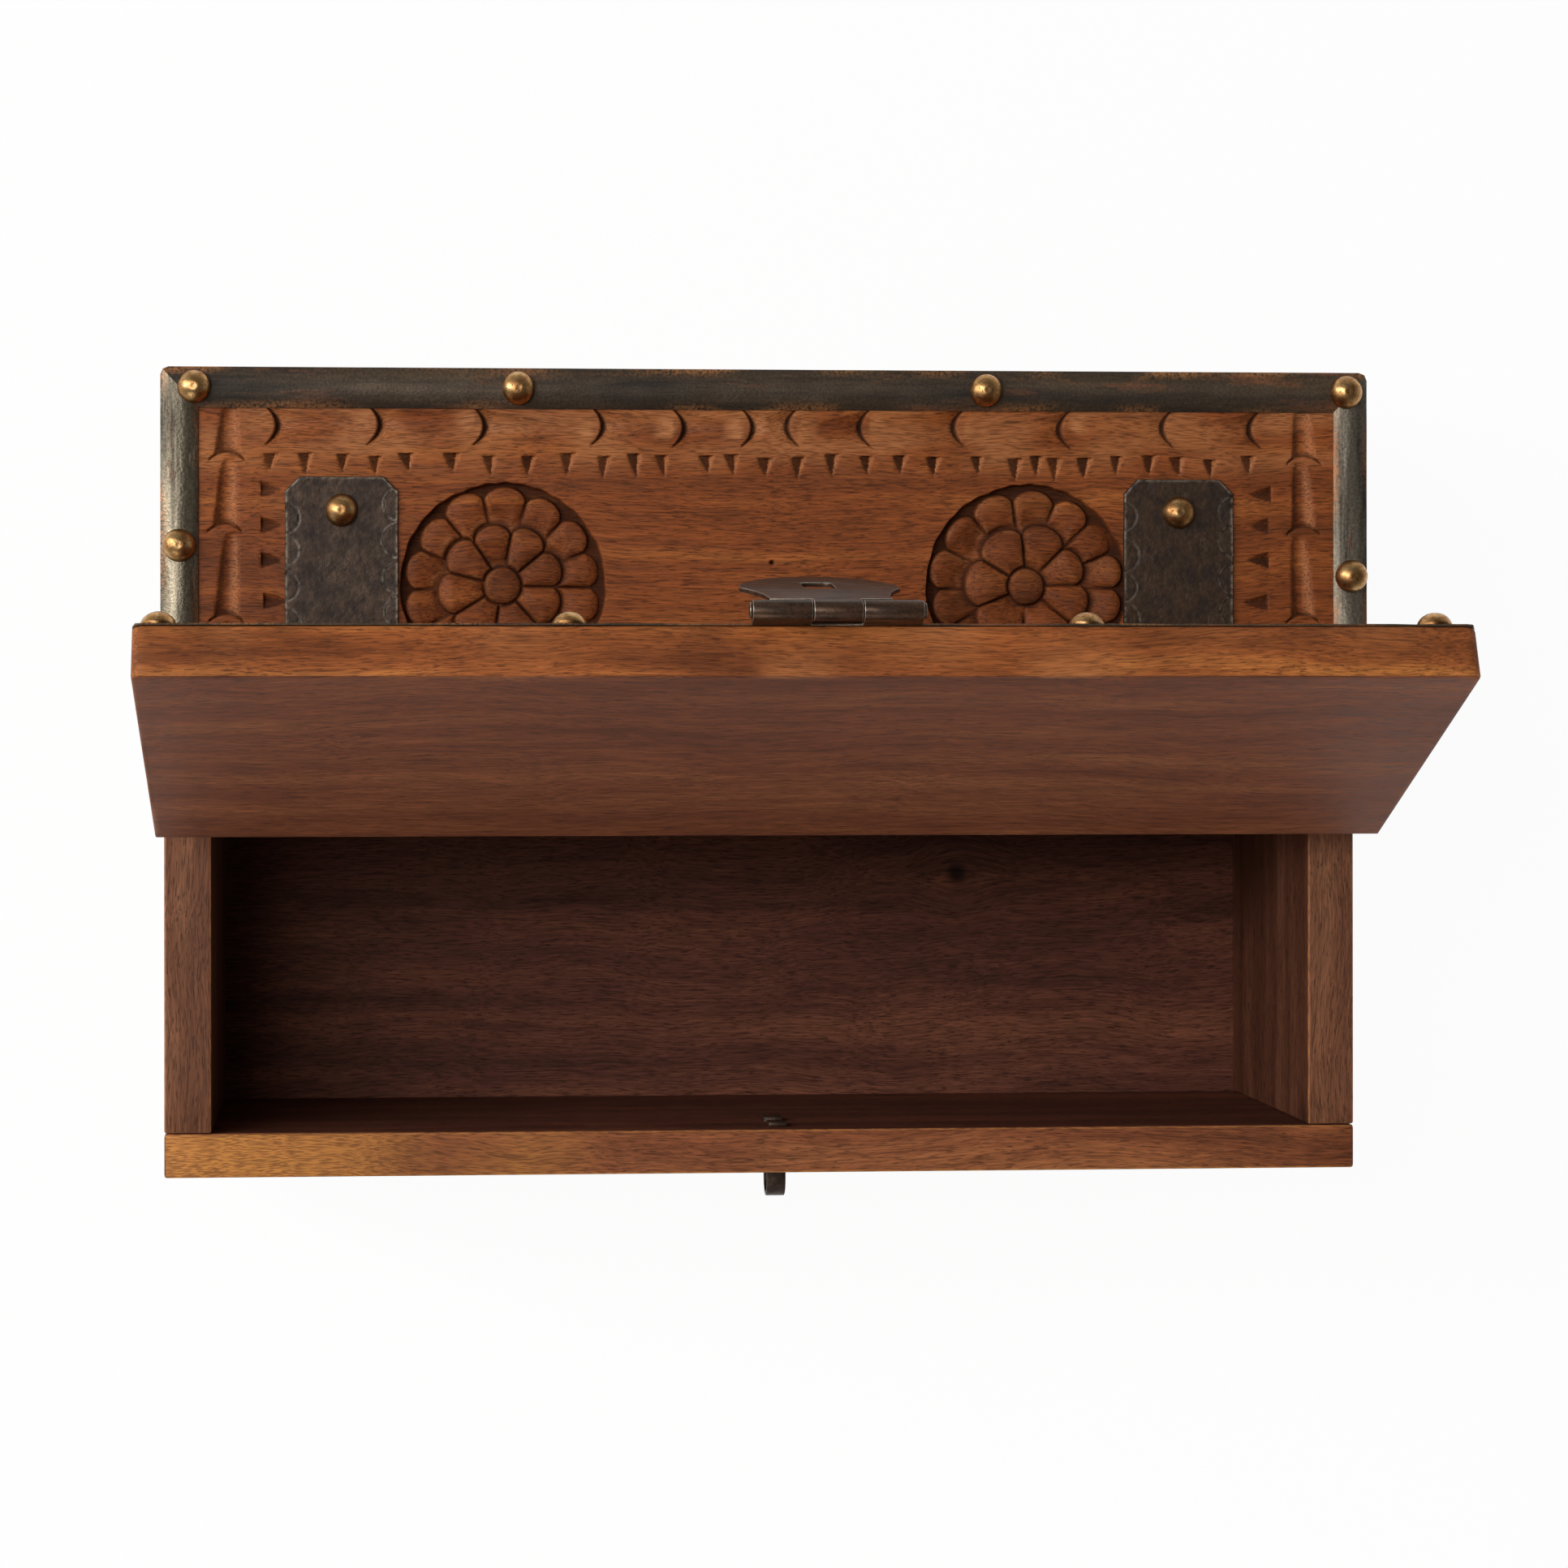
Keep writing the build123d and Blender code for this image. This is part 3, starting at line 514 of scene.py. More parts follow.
def gougeCut(along, across, reach, gouge, depthScale, floorScale):
    # A round gouge driven to a curved stop: its middle is deep at the stop and climbs to nothing at reach.
    # Its section is a circle, so it narrows as it gets shallower, and a knife slit marks the stop
    depth, floor, half = gouge["depth"] * depthScale, gouge["floor"] * floorScale, gouge["half"]
    bow = 1 - (across / half) ** 2
    run = along - gouge["bulge"] * bow
    middle = floor * np.clip(1 - run / reach, 0, 1) ** gouge["taper"]
    middle = middle + (depth - floor) * np.exp(-np.clip(run, 0, None) / toolMarks["plunge"])
    cut = np.clip(middle - across ** 2 / (2 * gouge["radius"]), 0, None)
    cut = cut * smooth(run, -0.3, 0.1) * (run < reach)
    slit = toolMarks["slitDepth"] * bell(run, toolMarks["slitHalf"])
    slit = slit * smooth(half * 1.1 - np.abs(across), 0, 1.0)
    # the crescent at the stop, where painted shade stands in for the stop wall's shadow
    stopShade = smooth(1.25 * bow - run, -0.35, 0.25) * smooth(run, -0.45, -0.1)
    polish = smooth(run, reach - toolMarks["polishLong"], reach - 3) * smooth(reach - run, 0, 1.5)
    return np.maximum(cut, slit), stopShade, polish * smooth(toolMarks["polishHalf"] - np.abs(across), 0, 2.5)


def chipCut(along, across, length, width, depth, split=0.72):
    # A three-cornered chip: a valley from its point, at along 0, that deepens to a steep wall at length. The
    # wall is drawn in at its middle, and the deepest line lies at split, so one slope is broad and one narrow
    share = np.clip(along / length, 0, 1)
    place = across / (width * share ** 0.65 + 0.1) + 0.5
    wall = length - 0.15 * (1 - np.abs(2 * place - 1)) - along
    valley = depth * share * np.clip(np.minimum(place / split, (1 - place) / (1 - split)), 0, 1)
    return valley * smooth(wall, 0, 0.4) * (along > 0), place > split


def petalReach(radius, angle, middles, row, draw):
    # How far a place lies inside its petal: the least distance to the sides shared with its neighbours and to
    # its rounded end, which draws back by roundness at the corners; also the petal's number
    middles = np.radians(np.sort(middles))
    edges = (middles + np.append(middles[1:], middles[0] + 2 * pi)) / 2
    gap = np.mod(angle[..., None] - edges, 2 * pi)
    which = (np.argmin(gap, -1) + 1) % len(middles)
    half = np.mod(edges - np.roll(edges, 1), 2 * pi)[which] / 2
    offset = np.abs(half - np.min(gap, -1))
    side = radius * np.sin(np.clip(half - offset, 0, pi / 2))
    drawnBack = row["roundness"] * (1 - np.sqrt(1 - 0.96 * np.clip(offset / half, 0, 1) ** 2.2))
    end = row["reach"] + draw.uniform(*rosette["reachSpread"], len(middles))[which] - drawnBack
    return np.minimum(side, (end - radius) * 0.9), which


def petalTop(x, y, radius, angle, row, lean):   # a crown that climbs outwards and leans its own way
    top = row["top"] + (radius - row["from"]) * row["climb"] + lean[0] * x + lean[1] * y
    return np.minimum(top - (lean[0] * np.cos(angle) + lean[1] * np.sin(angle)) * row["lean"], row["most"])


def pillow(inside, top):   # a crowned petal: a narrow V groove at its edge, then a slow rise to the top
    groove = rosette["grooveDepth"] * np.clip(1 - inside / rosette["grooveHalf"], 0, 1)
    return top - groove - rosette["pillowDepth"] * np.exp(-np.clip(inside, 0, None) / rosette["pillowWide"])


def flowerHeight(x, y, side, seed):
    # One rosette around its middle: the ground, or the petal or boss that stands on it, with a tone per
    # petal, dirt and painted shade in its grooves and ground, painted shadow beside the inner row, and a
    # painted highlight on the rims towards the light
    draw = np.random.default_rng(seed)
    outerRow, innerRow = rosette["outerRow"], rosette["innerRow"]
    radius, angle = np.hypot(x, y), np.arctan2(y, x)
    inner, innerWhich = petalReach(radius, angle, rosette[side]["inner"], innerRow, draw)
    outer, outerWhich = petalReach(radius, angle, rosette[side]["outer"], outerRow, draw)
    boss = rosette["boss"] + 0.2 * wobble(x, y, 9.0, seed + 3) - radius
    ground = -rosette["ground"] + 0.15 * wobble(x, y, 4.0, seed + 7)
    leans = draw.uniform(-1, 1, (2, 2, 16)) * rosette["tilt"]
    outerInside, innerInside = np.minimum(outer, -inner * 0.5), np.minimum(inner, -boss * 0.7)
    height = ground
    petalRows = ((outerInside, outerRow, leans[0][:, outerWhich]),
                 (innerInside, innerRow, leans[1][:, innerWhich]))
    for inside, row, lean in petalRows:
        petals = pillow(inside, petalTop(x, y, radius, angle, row, lean))
        height = np.where(inside > 0, np.maximum(petals, ground), height)
    height = np.where(boss > 0, pillow(boss, rosette["bossTop"]), height)
    nearest = np.maximum(np.maximum(outerInside, innerInside), boss)
    shades = draw.uniform(*rosette["shades"], (2, 16))
    shade = np.where(innerInside > 0, shades[1][innerWhich], shades[0][outerWhich])
    # painted shadow of the raised inner row on the outer petals beside it
    innerRowShadow = rosette["innerRowShadow"] * bell(np.clip(-inner, 0, None), 1.1) * (innerInside <= 0)
    # the grooves round each petal and the sunk ground hold dirt and painted shade
    dirtAndShade = np.maximum(shade + rosette["edgeDirtAndShade"] * bell(nearest, 0.55), innerRowShadow)
    stain = np.where(nearest > 0, dirtAndShade, rosette["groundDirtAndShade"])
    # painted highlight on the petal rims that face the light
    rub = rosette["rimHighlight"] * bell(nearest - 1.0, 0.4) * smooth(wobble(x, y, 7.0, seed + 11), -0.2, 0.4)
    return height, stain, rub * smooth(np.cos(angle - radians(rosette["lit"])), 0.1, 0.8), radius


def flowerPlace(x, y, side, depth):   # a place measured from the middle of the left (-1) or right (1) rosette
    return x - (rosette["shift"] + side * rosette["apart"] / 2), y - (depth - rosette["back"])


def faceHeight(x, y, depth, seed, holes=()):   # the carved face, and how much stain, painted shade, wear and painted highlight each point holds
    draw = np.random.default_rng(seed)
    z = 0.10 * wobble(x, y, 60.0, seed) + 0.035 * wobble(x, y, 14.0, seed + 1)
    cut, stain, rub = np.zeros_like(x), np.zeros_like(x), np.zeros_like(x)
    for stop in carving["stops"]:   # scoops between the stops, cut from both ends towards the middle
        side = 1 if stop < 0 else -1
        reach = min(abs(other - stop) for other in carving["stops"] if (other - stop) * side > 0) - 2.0
        lean, scale = draw.uniform(-0.06, 0.06), draw.uniform(0.85, 1.12)
        along = (x - stop) * side + carving["lead"]
        across = y - (depth - carving["border"]) + lean * along + draw.uniform(-0.4, 0.4)
        scoop, stopShade, polish = gougeCut(along, across, reach, borderGouge, scale, scale)
        edge = smooth(scoop, 0.0, 0.08) * smooth(0.34 - scoop, 0, 0.2) * smooth(reach * 0.8 - along, 0, 6)
        cut = np.maximum(cut, scoop)
        # painted shade in each stop's crescent and along the scoop's rim
        stain = np.maximum(stain, np.maximum(stopShade * 0.88, 0.42 * edge))
        rub = np.maximum(rub, polish * draw.uniform(0.8, 1.3))
    for chip in carving["chips"]:
        length, lean = carving["chipLong"] * draw.uniform(0.85, 1.15), draw.uniform(-0.12, 0.12)
        along = y - (depth - carving["chipTop"] - length) + draw.uniform(-0.8, 0.8)
        width = carving["chipWide"] * draw.uniform(0.85, 1.1)
        deep = carving["chipDepth"] * draw.uniform(0.75, 1.1)
        notch, far = chipCut(along, x - chip - lean * along, length, width, deep)
        cut = np.maximum(cut, notch)
        # painted shade on each chip's broad near wall, and a painted highlight on its narrow far wall
        stain = np.maximum(stain, smooth(notch, 0.02, 0.3) * np.where(far, 0.0, draw.uniform(0.6, 0.8)))
        rub = np.maximum(rub, smooth(notch, 0.1, 0.5) * far * 0.7)
    for side in (-1, 1):
        gaps = np.diff((carving["tongueStart"],) + carving["tongues"])
        for stop, gap in zip(carving["tongues"], gaps):
            along = y - (depth - stop) + carving["lead"]
            across = x - side * (halfWidth - carving["tongueIn"] - 0.06 * along) + draw.uniform(-0.6, 0.6)
            scoop, stopShade, _ = gougeCut(along, across, gap * 0.9, tongueGouge, draw.uniform(0.85, 1.1), 1.0)
            # painted shade on the left wall of each flute, and below it a painted highlight on its right wall
            shadow = smooth(scoop, 0.05, 0.5) * smooth(-across, 0.3, 2.4) * 0.55
            cut = np.maximum(cut, scoop)
            stain = np.maximum(stain, np.maximum(stopShade * 0.6, shadow))
            rub = np.maximum(rub, smooth(scoop, 0.2, 0.7) * smooth(across, -0.5, 1.5) * 0.5)
        for chip in carving["sideChips"]:
            length = carving["sideChipLong"] * draw.uniform(0.85, 1.1)
            along = side * x - (halfWidth - carving["sideChipIn"] - length) + draw.uniform(-0.8, 0.8)
            across = y - (depth - chip) + draw.uniform(-0.8, 0.8)
            deep = carving["chipDepth"] * draw.uniform(0.7, 1.0)
            notch, far = chipCut(along, across, length, carving["sideChipWide"], deep)
            # painted shade on the walls of each side chip, lighter on the far wall
            dark = np.where(far, 0.35, draw.uniform(0.65, 0.85))
            cut = np.maximum(cut, notch)
            stain = np.maximum(stain, smooth(notch, 0.01, 0.15) * dark)
    inner, outer = (depth - distance for distance in carving["handled"])
    handled = smooth(y, inner, outer) * smooth(0.5 + wobble(x, y * 2.5, 42.0, seed + 9), 0.0, 0.9)
    rub = np.maximum(rub, carving["handledShare"] * handled)
    z = z - cut
    for side, name in ((-1, "left"), (1, "right")):
        fx, fy = flowerPlace(x, y, side, depth)
        flower, flowerStainAndShade, flowerHighlight, radius = flowerHeight(fx, fy, name, seed + 20 + side)
        rim = rosette["radius"] + 0.45 * wobble(fx, fy, 16.0, seed + 5) + 0.3 * wobble(fx, fy, 4.5, seed + 6)
        sunk = smooth(rim - radius, -0.2, 0.3)
        z = np.where(sunk > 0, z * (1 - sunk) + flower * sunk, z)
        stain = np.where(sunk > 0, np.maximum(stain * (1 - sunk), flowerStainAndShade * sunk), stain)
        rub = rub * (1 - sunk) + flowerHighlight * sunk
    for holeX, holeY, size in holes:   # old nail holes
        away = np.hypot(x - holeX, (y - holeY) * 1.3)
        z = z - 1.5 * np.exp(-(away / size) ** 4)
        stain = np.maximum(stain, 0.95 * smooth(size * 1.3 - away, 0, 0.5))
    return z - np.clip(carving["hingeEase"] - y, 0, carving["hingeEase"]), stain, rub


def carvedZone(x, y, depth, holes):   # where the face is worth splitting at least once
    near, far = carving["zoneRows"]
    inside, outside = carving["zoneColumns"]
    wanted = (y > depth - far) & (y < depth - near) & (np.abs(x) < outside)
    wanted |= (np.abs(x) > inside) & (np.abs(x) < outside) & (y > carving["zoneFoot"]) & (y < depth - near)
    for side in (-1, 1):
        wanted |= np.hypot(*flowerPlace(x, y, side, depth)) < rosette["radius"] + 1.5
    for holeX, holeY, size in holes:
        wanted |= np.hypot(x - holeX, y - holeY) < 3 * size + 1
    return wanted


boardEdge = {
    "cornerRound": 2.5, "edgeRound": 0.9, "step": 2.0,
    "bendAllowed": (0.048, 0.062), "spreadShare": 0.12,   # a face that bends more is split, twice over
    "darkened": ((168.0, 34.0, 0.34), (18.0, 36.0, 0.36), (-95.0, 22.0, 0.2)),   # place, spread and share
}


def roundCorners(x, y, width, depth, inset=0.0):
    # Draws the square at each of the two outer corners in to a quarter circle
    radius = boardEdge["cornerRound"]
    a = np.clip(np.abs(x) - (width / 2 - inset - radius), 0, None) / radius
    b = np.clip(y - (depth - inset - radius), 0, None) / radius
    return (x + np.sign(x) * radius * (a * np.sqrt(1 - b ** 2 / 2) - a),
            y + radius * (b * np.sqrt(1 - a ** 2 / 2) - b))


def planPoint(fx, fy, width, depth, inset):   # a place on the board from its shares of the width and depth
    x, y = (fx - 0.5) * (width - 2 * inset), inset + fy * (depth - 2 * inset)
    return roundCorners(x, y, width, depth, inset)


def edgeMarks(ring, seed):   # along the edge, dark stretches broken up by a wobble, and paler handled ones
    x, run, down = ring[:, 0], ring[:, 0] + ring[:, 1], -ring[:, 2]
    dark = sum(share * bell(x - place, spread) for place, spread, share in boardEdge["darkened"])
    broken = smooth(wobble(run, 5 * down, 26.0, seed + 31), -0.45, 0.3)
    pale = 0.55 * smooth(wobble(run, 4 * down, 60.0, seed + 32), 0.0, 0.5)
    return {"stain": dark * broken, "rub": pale * (1 - broken * np.clip(3 * dark, 0, 1))}


def bendsMore(faces, index, centres, depth, seed, holes, allowed):
    # A face bends by how far its middle lies from the mean of its corners, or by a share of their spread
    corners = [np.array([v.co for v in faces[i].verts]) for i in index]
    flat = np.concatenate(corners)
    sizes = np.array([len(c) for c in corners])
    starts = np.concatenate([[0], np.cumsum(sizes)[:-1]])
    middle = faceHeight(centres[index, 0], centres[index, 1], depth, seed, holes)[0]
    heights = faceHeight(flat[:, 0], flat[:, 1], depth, seed, holes)[0]
    mean = np.add.reduceat(heights, starts) / sizes
    spread = np.maximum.reduceat(heights, starts) - np.minimum.reduceat(heights, starts)
    return np.maximum(np.abs(middle - mean), boardEdge["spreadShare"] * spread) > allowed


def splitPlan(fx, fy, width, depth, seed, holes):
    # A grid over the board's outline, split once where it is carved and twice more where its height bends
    rows, cols = fx.shape
    x, y = planPoint(fx, fy, width, depth, boardEdge["edgeRound"])
    corners = np.stack([x, y, np.zeros_like(x)], -1).reshape(-1, 3)
    flat = bpy.data.meshes.new("plan")
    flat.from_pydata(corners.tolist(), [], gridFaces(rows, cols).tolist())
    plan = bmesh.new()
    plan.from_mesh(flat)
    bpy.data.meshes.remove(flat)
    for allowed in (None, *boardEdge["bendAllowed"]):
        faces = list(plan.faces)
        centres = np.array([face.calc_center_median() for face in faces])
        wanted = carvedZone(centres[:, 0], centres[:, 1], depth, holes)
        if allowed:
            index = np.nonzero(wanted)[0]
            wanted[index] = bendsMore(faces, index, centres, depth, seed, holes, allowed)
        edges = {edge for face, yes in zip(faces, wanted) if yes for edge in face.edges}
        bmesh.ops.subdivide_edges(plan, edges=list(edges), cuts=1, use_grid_fill=True, use_single_edge=True)
    plan.verts.index_update()
    points = np.array([v.co for v in plan.verts])
    faces = [[v.index for v in face.verts] for face in plan.faces]
    plan.free()
    return points, faces


def carvedBoard(name, boardName, seed, material, node, underside=None, holes=()):
    # The face is a height over the board's outline. A rounded edge, the sides and a flat back are below it
    board, edge = topBoards[boardName], boardEdge["edgeRound"]
    width, depth, thick = board["width"], board["depth"], board["thick"]
    cols, rows = int(width / boardEdge["step"]), int(depth / boardEdge["step"])
    fx, fy = np.meshgrid(np.linspace(0, 1, cols), np.linspace(0, 1, rows))
    top, faces = splitPlan(fx, fy, width, depth, seed, holes)
    top[:, 2], stain, rub = faceHeight(top[:, 0], top[:, 1], depth, seed, holes)
    rim = rimOf(rows, cols)
    rings = []
    for turn in np.radians((30, 60, 90)):
        x, y = planPoint(fx.ravel()[rim], fy.ravel()[rim], width, depth, edge * (1 - np.sin(turn)))
        rings.append(np.stack([x, y, top[rim, 2] - edge * (1 - np.cos(turn))], -1))
    lowEdge = (0, thick - edge), (edge * 0.3, thick - edge * 0.3), (edge, thick), (edge + 1.0, thick)
    for inset, down in lowEdge:
        x, y = planPoint(fx.ravel()[rim], fy.ravel()[rim], width, depth, inset)
        rings.append(np.stack([x, y, np.full_like(x, -down)], -1))
    ringMarks = [edgeMarks(ring, seed) for ring in rings[:-1]] + [{}]
    shell = Shell()
    shell.faces = faces
    shell.slab(top, None, rim, rings, ringMarks, stain=stain, rub=rub)
    piece = makePiece(name, node, shell, board, material, sharp=60)
    if underside:
        foot, head = board["place"](np.array([(0, 0, 0), (0, 0, 1.0)]))
        paintFaces(piece, underside, foot - head)


carvedBoard("carvedRearBoard", "rear", 11, rearWood, "rear_top_board", holes=((0.6, 68.0, 0.75),))
carvedBoard("carvedLidBoard", "lid", 52, lidWood, "lid_board", underside=lidUnderWood)
print("carved boards made")


# Iron edging strips: a shallow arc carried along the board's edge, cut to the mitre line at each end
strip = {
    "long": 12.7, "left": 11.7, "right": 10.7, "edge": 0.7, "crown": 2.2, "step": 2.5,
    "dent": 0.14, "dentPitch": 16.0, "sunk": 0.12, "stain": 0.34, "rubPitch": 40.0,
    "haspWindow": (-31.3, 17.3),   # the hasp's plate lies on the wood between two lengths of strip
}


def stripShell(width, depth, which, seed, window):
    # Across the strip the height is a parabola from edge to crown. Along it, each line runs to the mitres
    across = np.concatenate([np.linspace(0, 1, 15), [1.0, 0.5, 0.0]])
    onTop = np.arange(len(across)) < 15
    arc = 1 - (2 * across - 1) ** 2
    height = np.where(onTop, strip["edge"] + (strip["crown"] - strip["edge"]) * arc, 0.0)
    if which == "long":
        start, end = strip["left"] * (1 - across) - width / 2, width / 2 - strip["right"] * (1 - across)
        line = depth - strip["long"] * (1 - across)
    else:
        start, end = np.zeros_like(across), depth - strip["long"] * (1 - across)
        side = -1 if which == "left" else 1
        line = side * (width / 2 - strip[which] * (1 - across))
    turn = 1 if which == "left" else -1   # keeps the faces pointing outwards
    spans = [(start, end)]
    if window:
        spans = [(start, np.full_like(start, window[0])), (np.full_like(end, window[1]), end)]
    shell = Shell()
    for low, high in spans:
        count = max(int((high.max() - low.min()) / strip["step"]), 3)
        along = low + (high - low) * np.linspace(0, 1, count)[:, None]
        dent = strip["dent"] * wobble(along, across * 12, strip["dentPitch"], seed) - strip["sunk"]
        x, y = (along, line) if which == "long" else (line, along)
        x, y = roundCorners(x, y, width, depth)
        points = np.stack(np.broadcast_arrays(x, y, height + np.where(onTop, dent, 0)), -1)
        rub = smooth(wobble(along, across * 30, strip["rubPitch"], seed + 3), -0.1, 0.4)
        rub = rub * smooth(np.abs(across - 0.5), 0.26, 0.48) * onTop
        stain = strip["stain"] * smooth(across, 0.75, 0.25) * (which == "long")
        stain = np.broadcast_to(stain, rub.shape)
        shell.tube(points[:, ::turn], rub=rub[:, ::turn], stain=stain[:, ::turn])
    return shell


for node, boardName, which, seed, iron in (
        ("rear_edging_back", "rear", "long", 5, stripIron),
        ("rear_edging_left", "rear", "left", 6, sideStripIron),
        ("rear_edging_right", "rear", "right", 7, paleCopyStripIron),
        ("lid_edging_front", "lid", "long", 31, stripIron),
        ("lid_edging_right", "lid", "left", 32, lidSideStripIron),
        ("lid_edging_left", "lid", "right", 33, lidSideStripIron)):
    board = topBoards[boardName]
    window = strip["haspWindow"] if node == "lid_edging_front" else None
    shell = stripShell(board["width"], board["depth"], which, seed, window)
    makePiece(node + "Strip", node, shell, board, iron)
print("edging strips made")


# Brass dome studs: a quarter ellipse turned about its own axis, with a rolled rim and small dents
dome = {
    "radius": 5.15, "height": 4.4, "skirt": 1.0, "dent": 0.09, "dentPitch": 3.5, "outOfRound": 0.012,
    "lean": 0.05, "dimple": 0.22, "dimpleWide": 0.9, "points": 40,
    "cornerLeft": 10.5, "cornerRight": 7.0, "between": (-0.208, 0.179),   # from the ends; shares of the width
    "leftBack": 55.6, "rightBack": 64.5, "leafY": (84.0, 21.5),
}


def domeShell(places, seed):
    # Rings from skirt to crown, a little out of round and dented, with a slight lean and a dimple on top
    shell = Shell()
    theta = np.linspace(0, 2 * pi, dome["points"], endpoint=False)
    rise = np.radians(np.linspace(4, 86, 16))
    radius = dome["radius"] * np.concatenate([[0.93, 0.99, 1.0], np.cos(rise)])
    height = np.concatenate([[-dome["skirt"], -dome["skirt"] * 0.4, 0.0], dome["height"] * np.sin(rise)])
    stain = 0.75 * (1 - smooth(height, -0.5, 0.5)) + 0.5 * bell(radius, 1.3)   # darker at the rim and in the dimple
    level = height[:, None]
    for index, (x, y, z) in enumerate(places):
        draw = np.random.default_rng(seed + index)
        lean = draw.uniform(-dome["lean"], dome["lean"], 2)
        r = radius[:, None] * (1 + dome["outOfRound"] * np.cos(2 * theta + draw.uniform(0, 6)))
        px, py = r * np.cos(theta), r * np.sin(theta)
        dent = dome["dent"] * wobble(px, py, dome["dentPitch"], seed + 50 + index) * smooth(level, 0.5, 3)
        pz = 0.98 * level - 0.02 + dent * 0.6 + (lean[0] * px + lean[1] * py) * 0.6
        pz = np.minimum(pz, dome["height"]) - dome["dimple"] * bell(r, dome["dimpleWide"])
        shell.tube(np.stack([x + px, y + py, z + pz], -1), stain=np.repeat(stain, dome["points"]))
    return shell


def edgingStuds(width, depth):   # four along the outer edge, one at each end, all on the strips' crowns
    half, along = width / 2, depth - strip["long"] / 2
    places = [(dome["cornerLeft"] - half, along), (half - dome["cornerRight"], along)]
    places += [(share * width, along) for share in dome["between"]]
    places += [(strip["left"] / 2 - half, depth - dome["leftBack"]),
               (half - strip["right"] / 2, depth - dome["rightBack"])]
    return [(x, y, strip["crown"]) for x, y in places]


for boardName, turn in (("rear", 1), ("lid", -1)):
    board = topBoards[boardName]
    onLeaves = [(turn * x, y, box["leafThick"]) for x in box["hingeX"] for y in dome["leafY"]]
    onEdging = edgingStuds(board["width"], board["depth"])
    for kind, places, seed in (("Edging", onEdging, 3 + turn), ("Leaf", onLeaves, 13 + turn)):
        node = boardName + "_" + kind.lower() + "_studs"
        shell = domeShell(places, seed)
        makePiece(boardName + kind + "Domes", node, shell, board, domeBrass)
print("dome studs made")


# Rolled iron hinges: the barrel runs along X at height barrelRadius, and the leaf reaches towards +Y
leaf = {
    "start": 3.45, "length": 95.0, "halfWide": 17.6, "clip": 4.5, "round": 0.35, "step": 0.45,
    "knuckle": 11.6, "gap": 0.3, "pin": 1.65, "ease": 0.22, "tail": 0.4, "arcPoints": 38, "back": 0.5,
    "stamps": 8, "stampFirst": 9.5, "stampPitch": 10.9, "stampRadius": 4.6, "stampDepth": 0.3,
    "stampStain": 0.55, "burr": {1: 0.9, -1: 0.35},   # burrs stand up on the right side
    "edgeRub": 0.6, "endRub": 0.4, "rubWide": 0.7,
}


def rolledKnuckle(shell, low, high):
    # The leaf's edge curled round the pin: an arc of 300 degrees, carried along X, with eased ends
    outer, inner, tail, ease = box["barrelRadius"], leaf["pin"], leaf["start"] + leaf["tail"], leaf["ease"]
    phi = np.radians(np.linspace(-90, -390, leaf["arcPoints"]))
    turn = np.stack([np.cos(phi), np.sin(phi)], -1)
    loops = []
    for x, shrink in ((low, ease), (low + ease, 0.0), (high - ease, 0.0), (high, ease)):
        outside, within = (outer - shrink) * turn + (0, outer), (inner + shrink) * turn + (0, outer)
        path = np.concatenate([[(tail, shrink)], outside, within[::-1], [(tail, box["leafThick"] - shrink)]])
        loops.append(np.column_stack([np.full(len(path), x), path]))
    loops = np.array(loops)[:, ::-1]
    rows, cols = loops.shape[:2]
    rub = np.zeros((rows, cols))
    rub[[0, -1]] = 0.8
    ring = shell.add(loops, gridFaces(rows, cols, wrap=True), rub=rub) + np.arange(cols)
    for row, order in ((0, -1), (rows - 1, 1)):   # each end is a curved band from the outer to the inner arc
        near, far = row * cols + ring[:cols // 2], row * cols + ring[::-1][:cols // 2]
        shell.faces += np.stack([near[:-1], near[1:], far[1:], far[:-1]], -1)[:, ::order].tolist()


def leafOutline(u, v, inset):   # a place on the leaf from shares across and along, its far corners cut off
    y = leaf["start"] + v * (leaf["length"] - leaf["start"] - inset)
    return u * (leaf["halfWide"] - inset - np.clip(y - (leaf["length"] - inset - leaf["clip"]), 0, None)), y


def leafLift(x, y, seed):   # hammering: slow and quick waves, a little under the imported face
    return 0.10 * wobble(x, y, 32.0, seed) + 0.03 * wobble(x, y, 6.0, seed + 4) - 0.12


def edgeWander(x, y, seed):   # the long edges waver by a sixth of a millimetre
    nearEdge = np.sign(x) * smooth(np.abs(x), leaf["halfWide"] - 5, leaf["halfWide"])
    return x + (0.16 * wobble(0.0, y, 30.0, seed + 1) - 0.1) * nearEdge


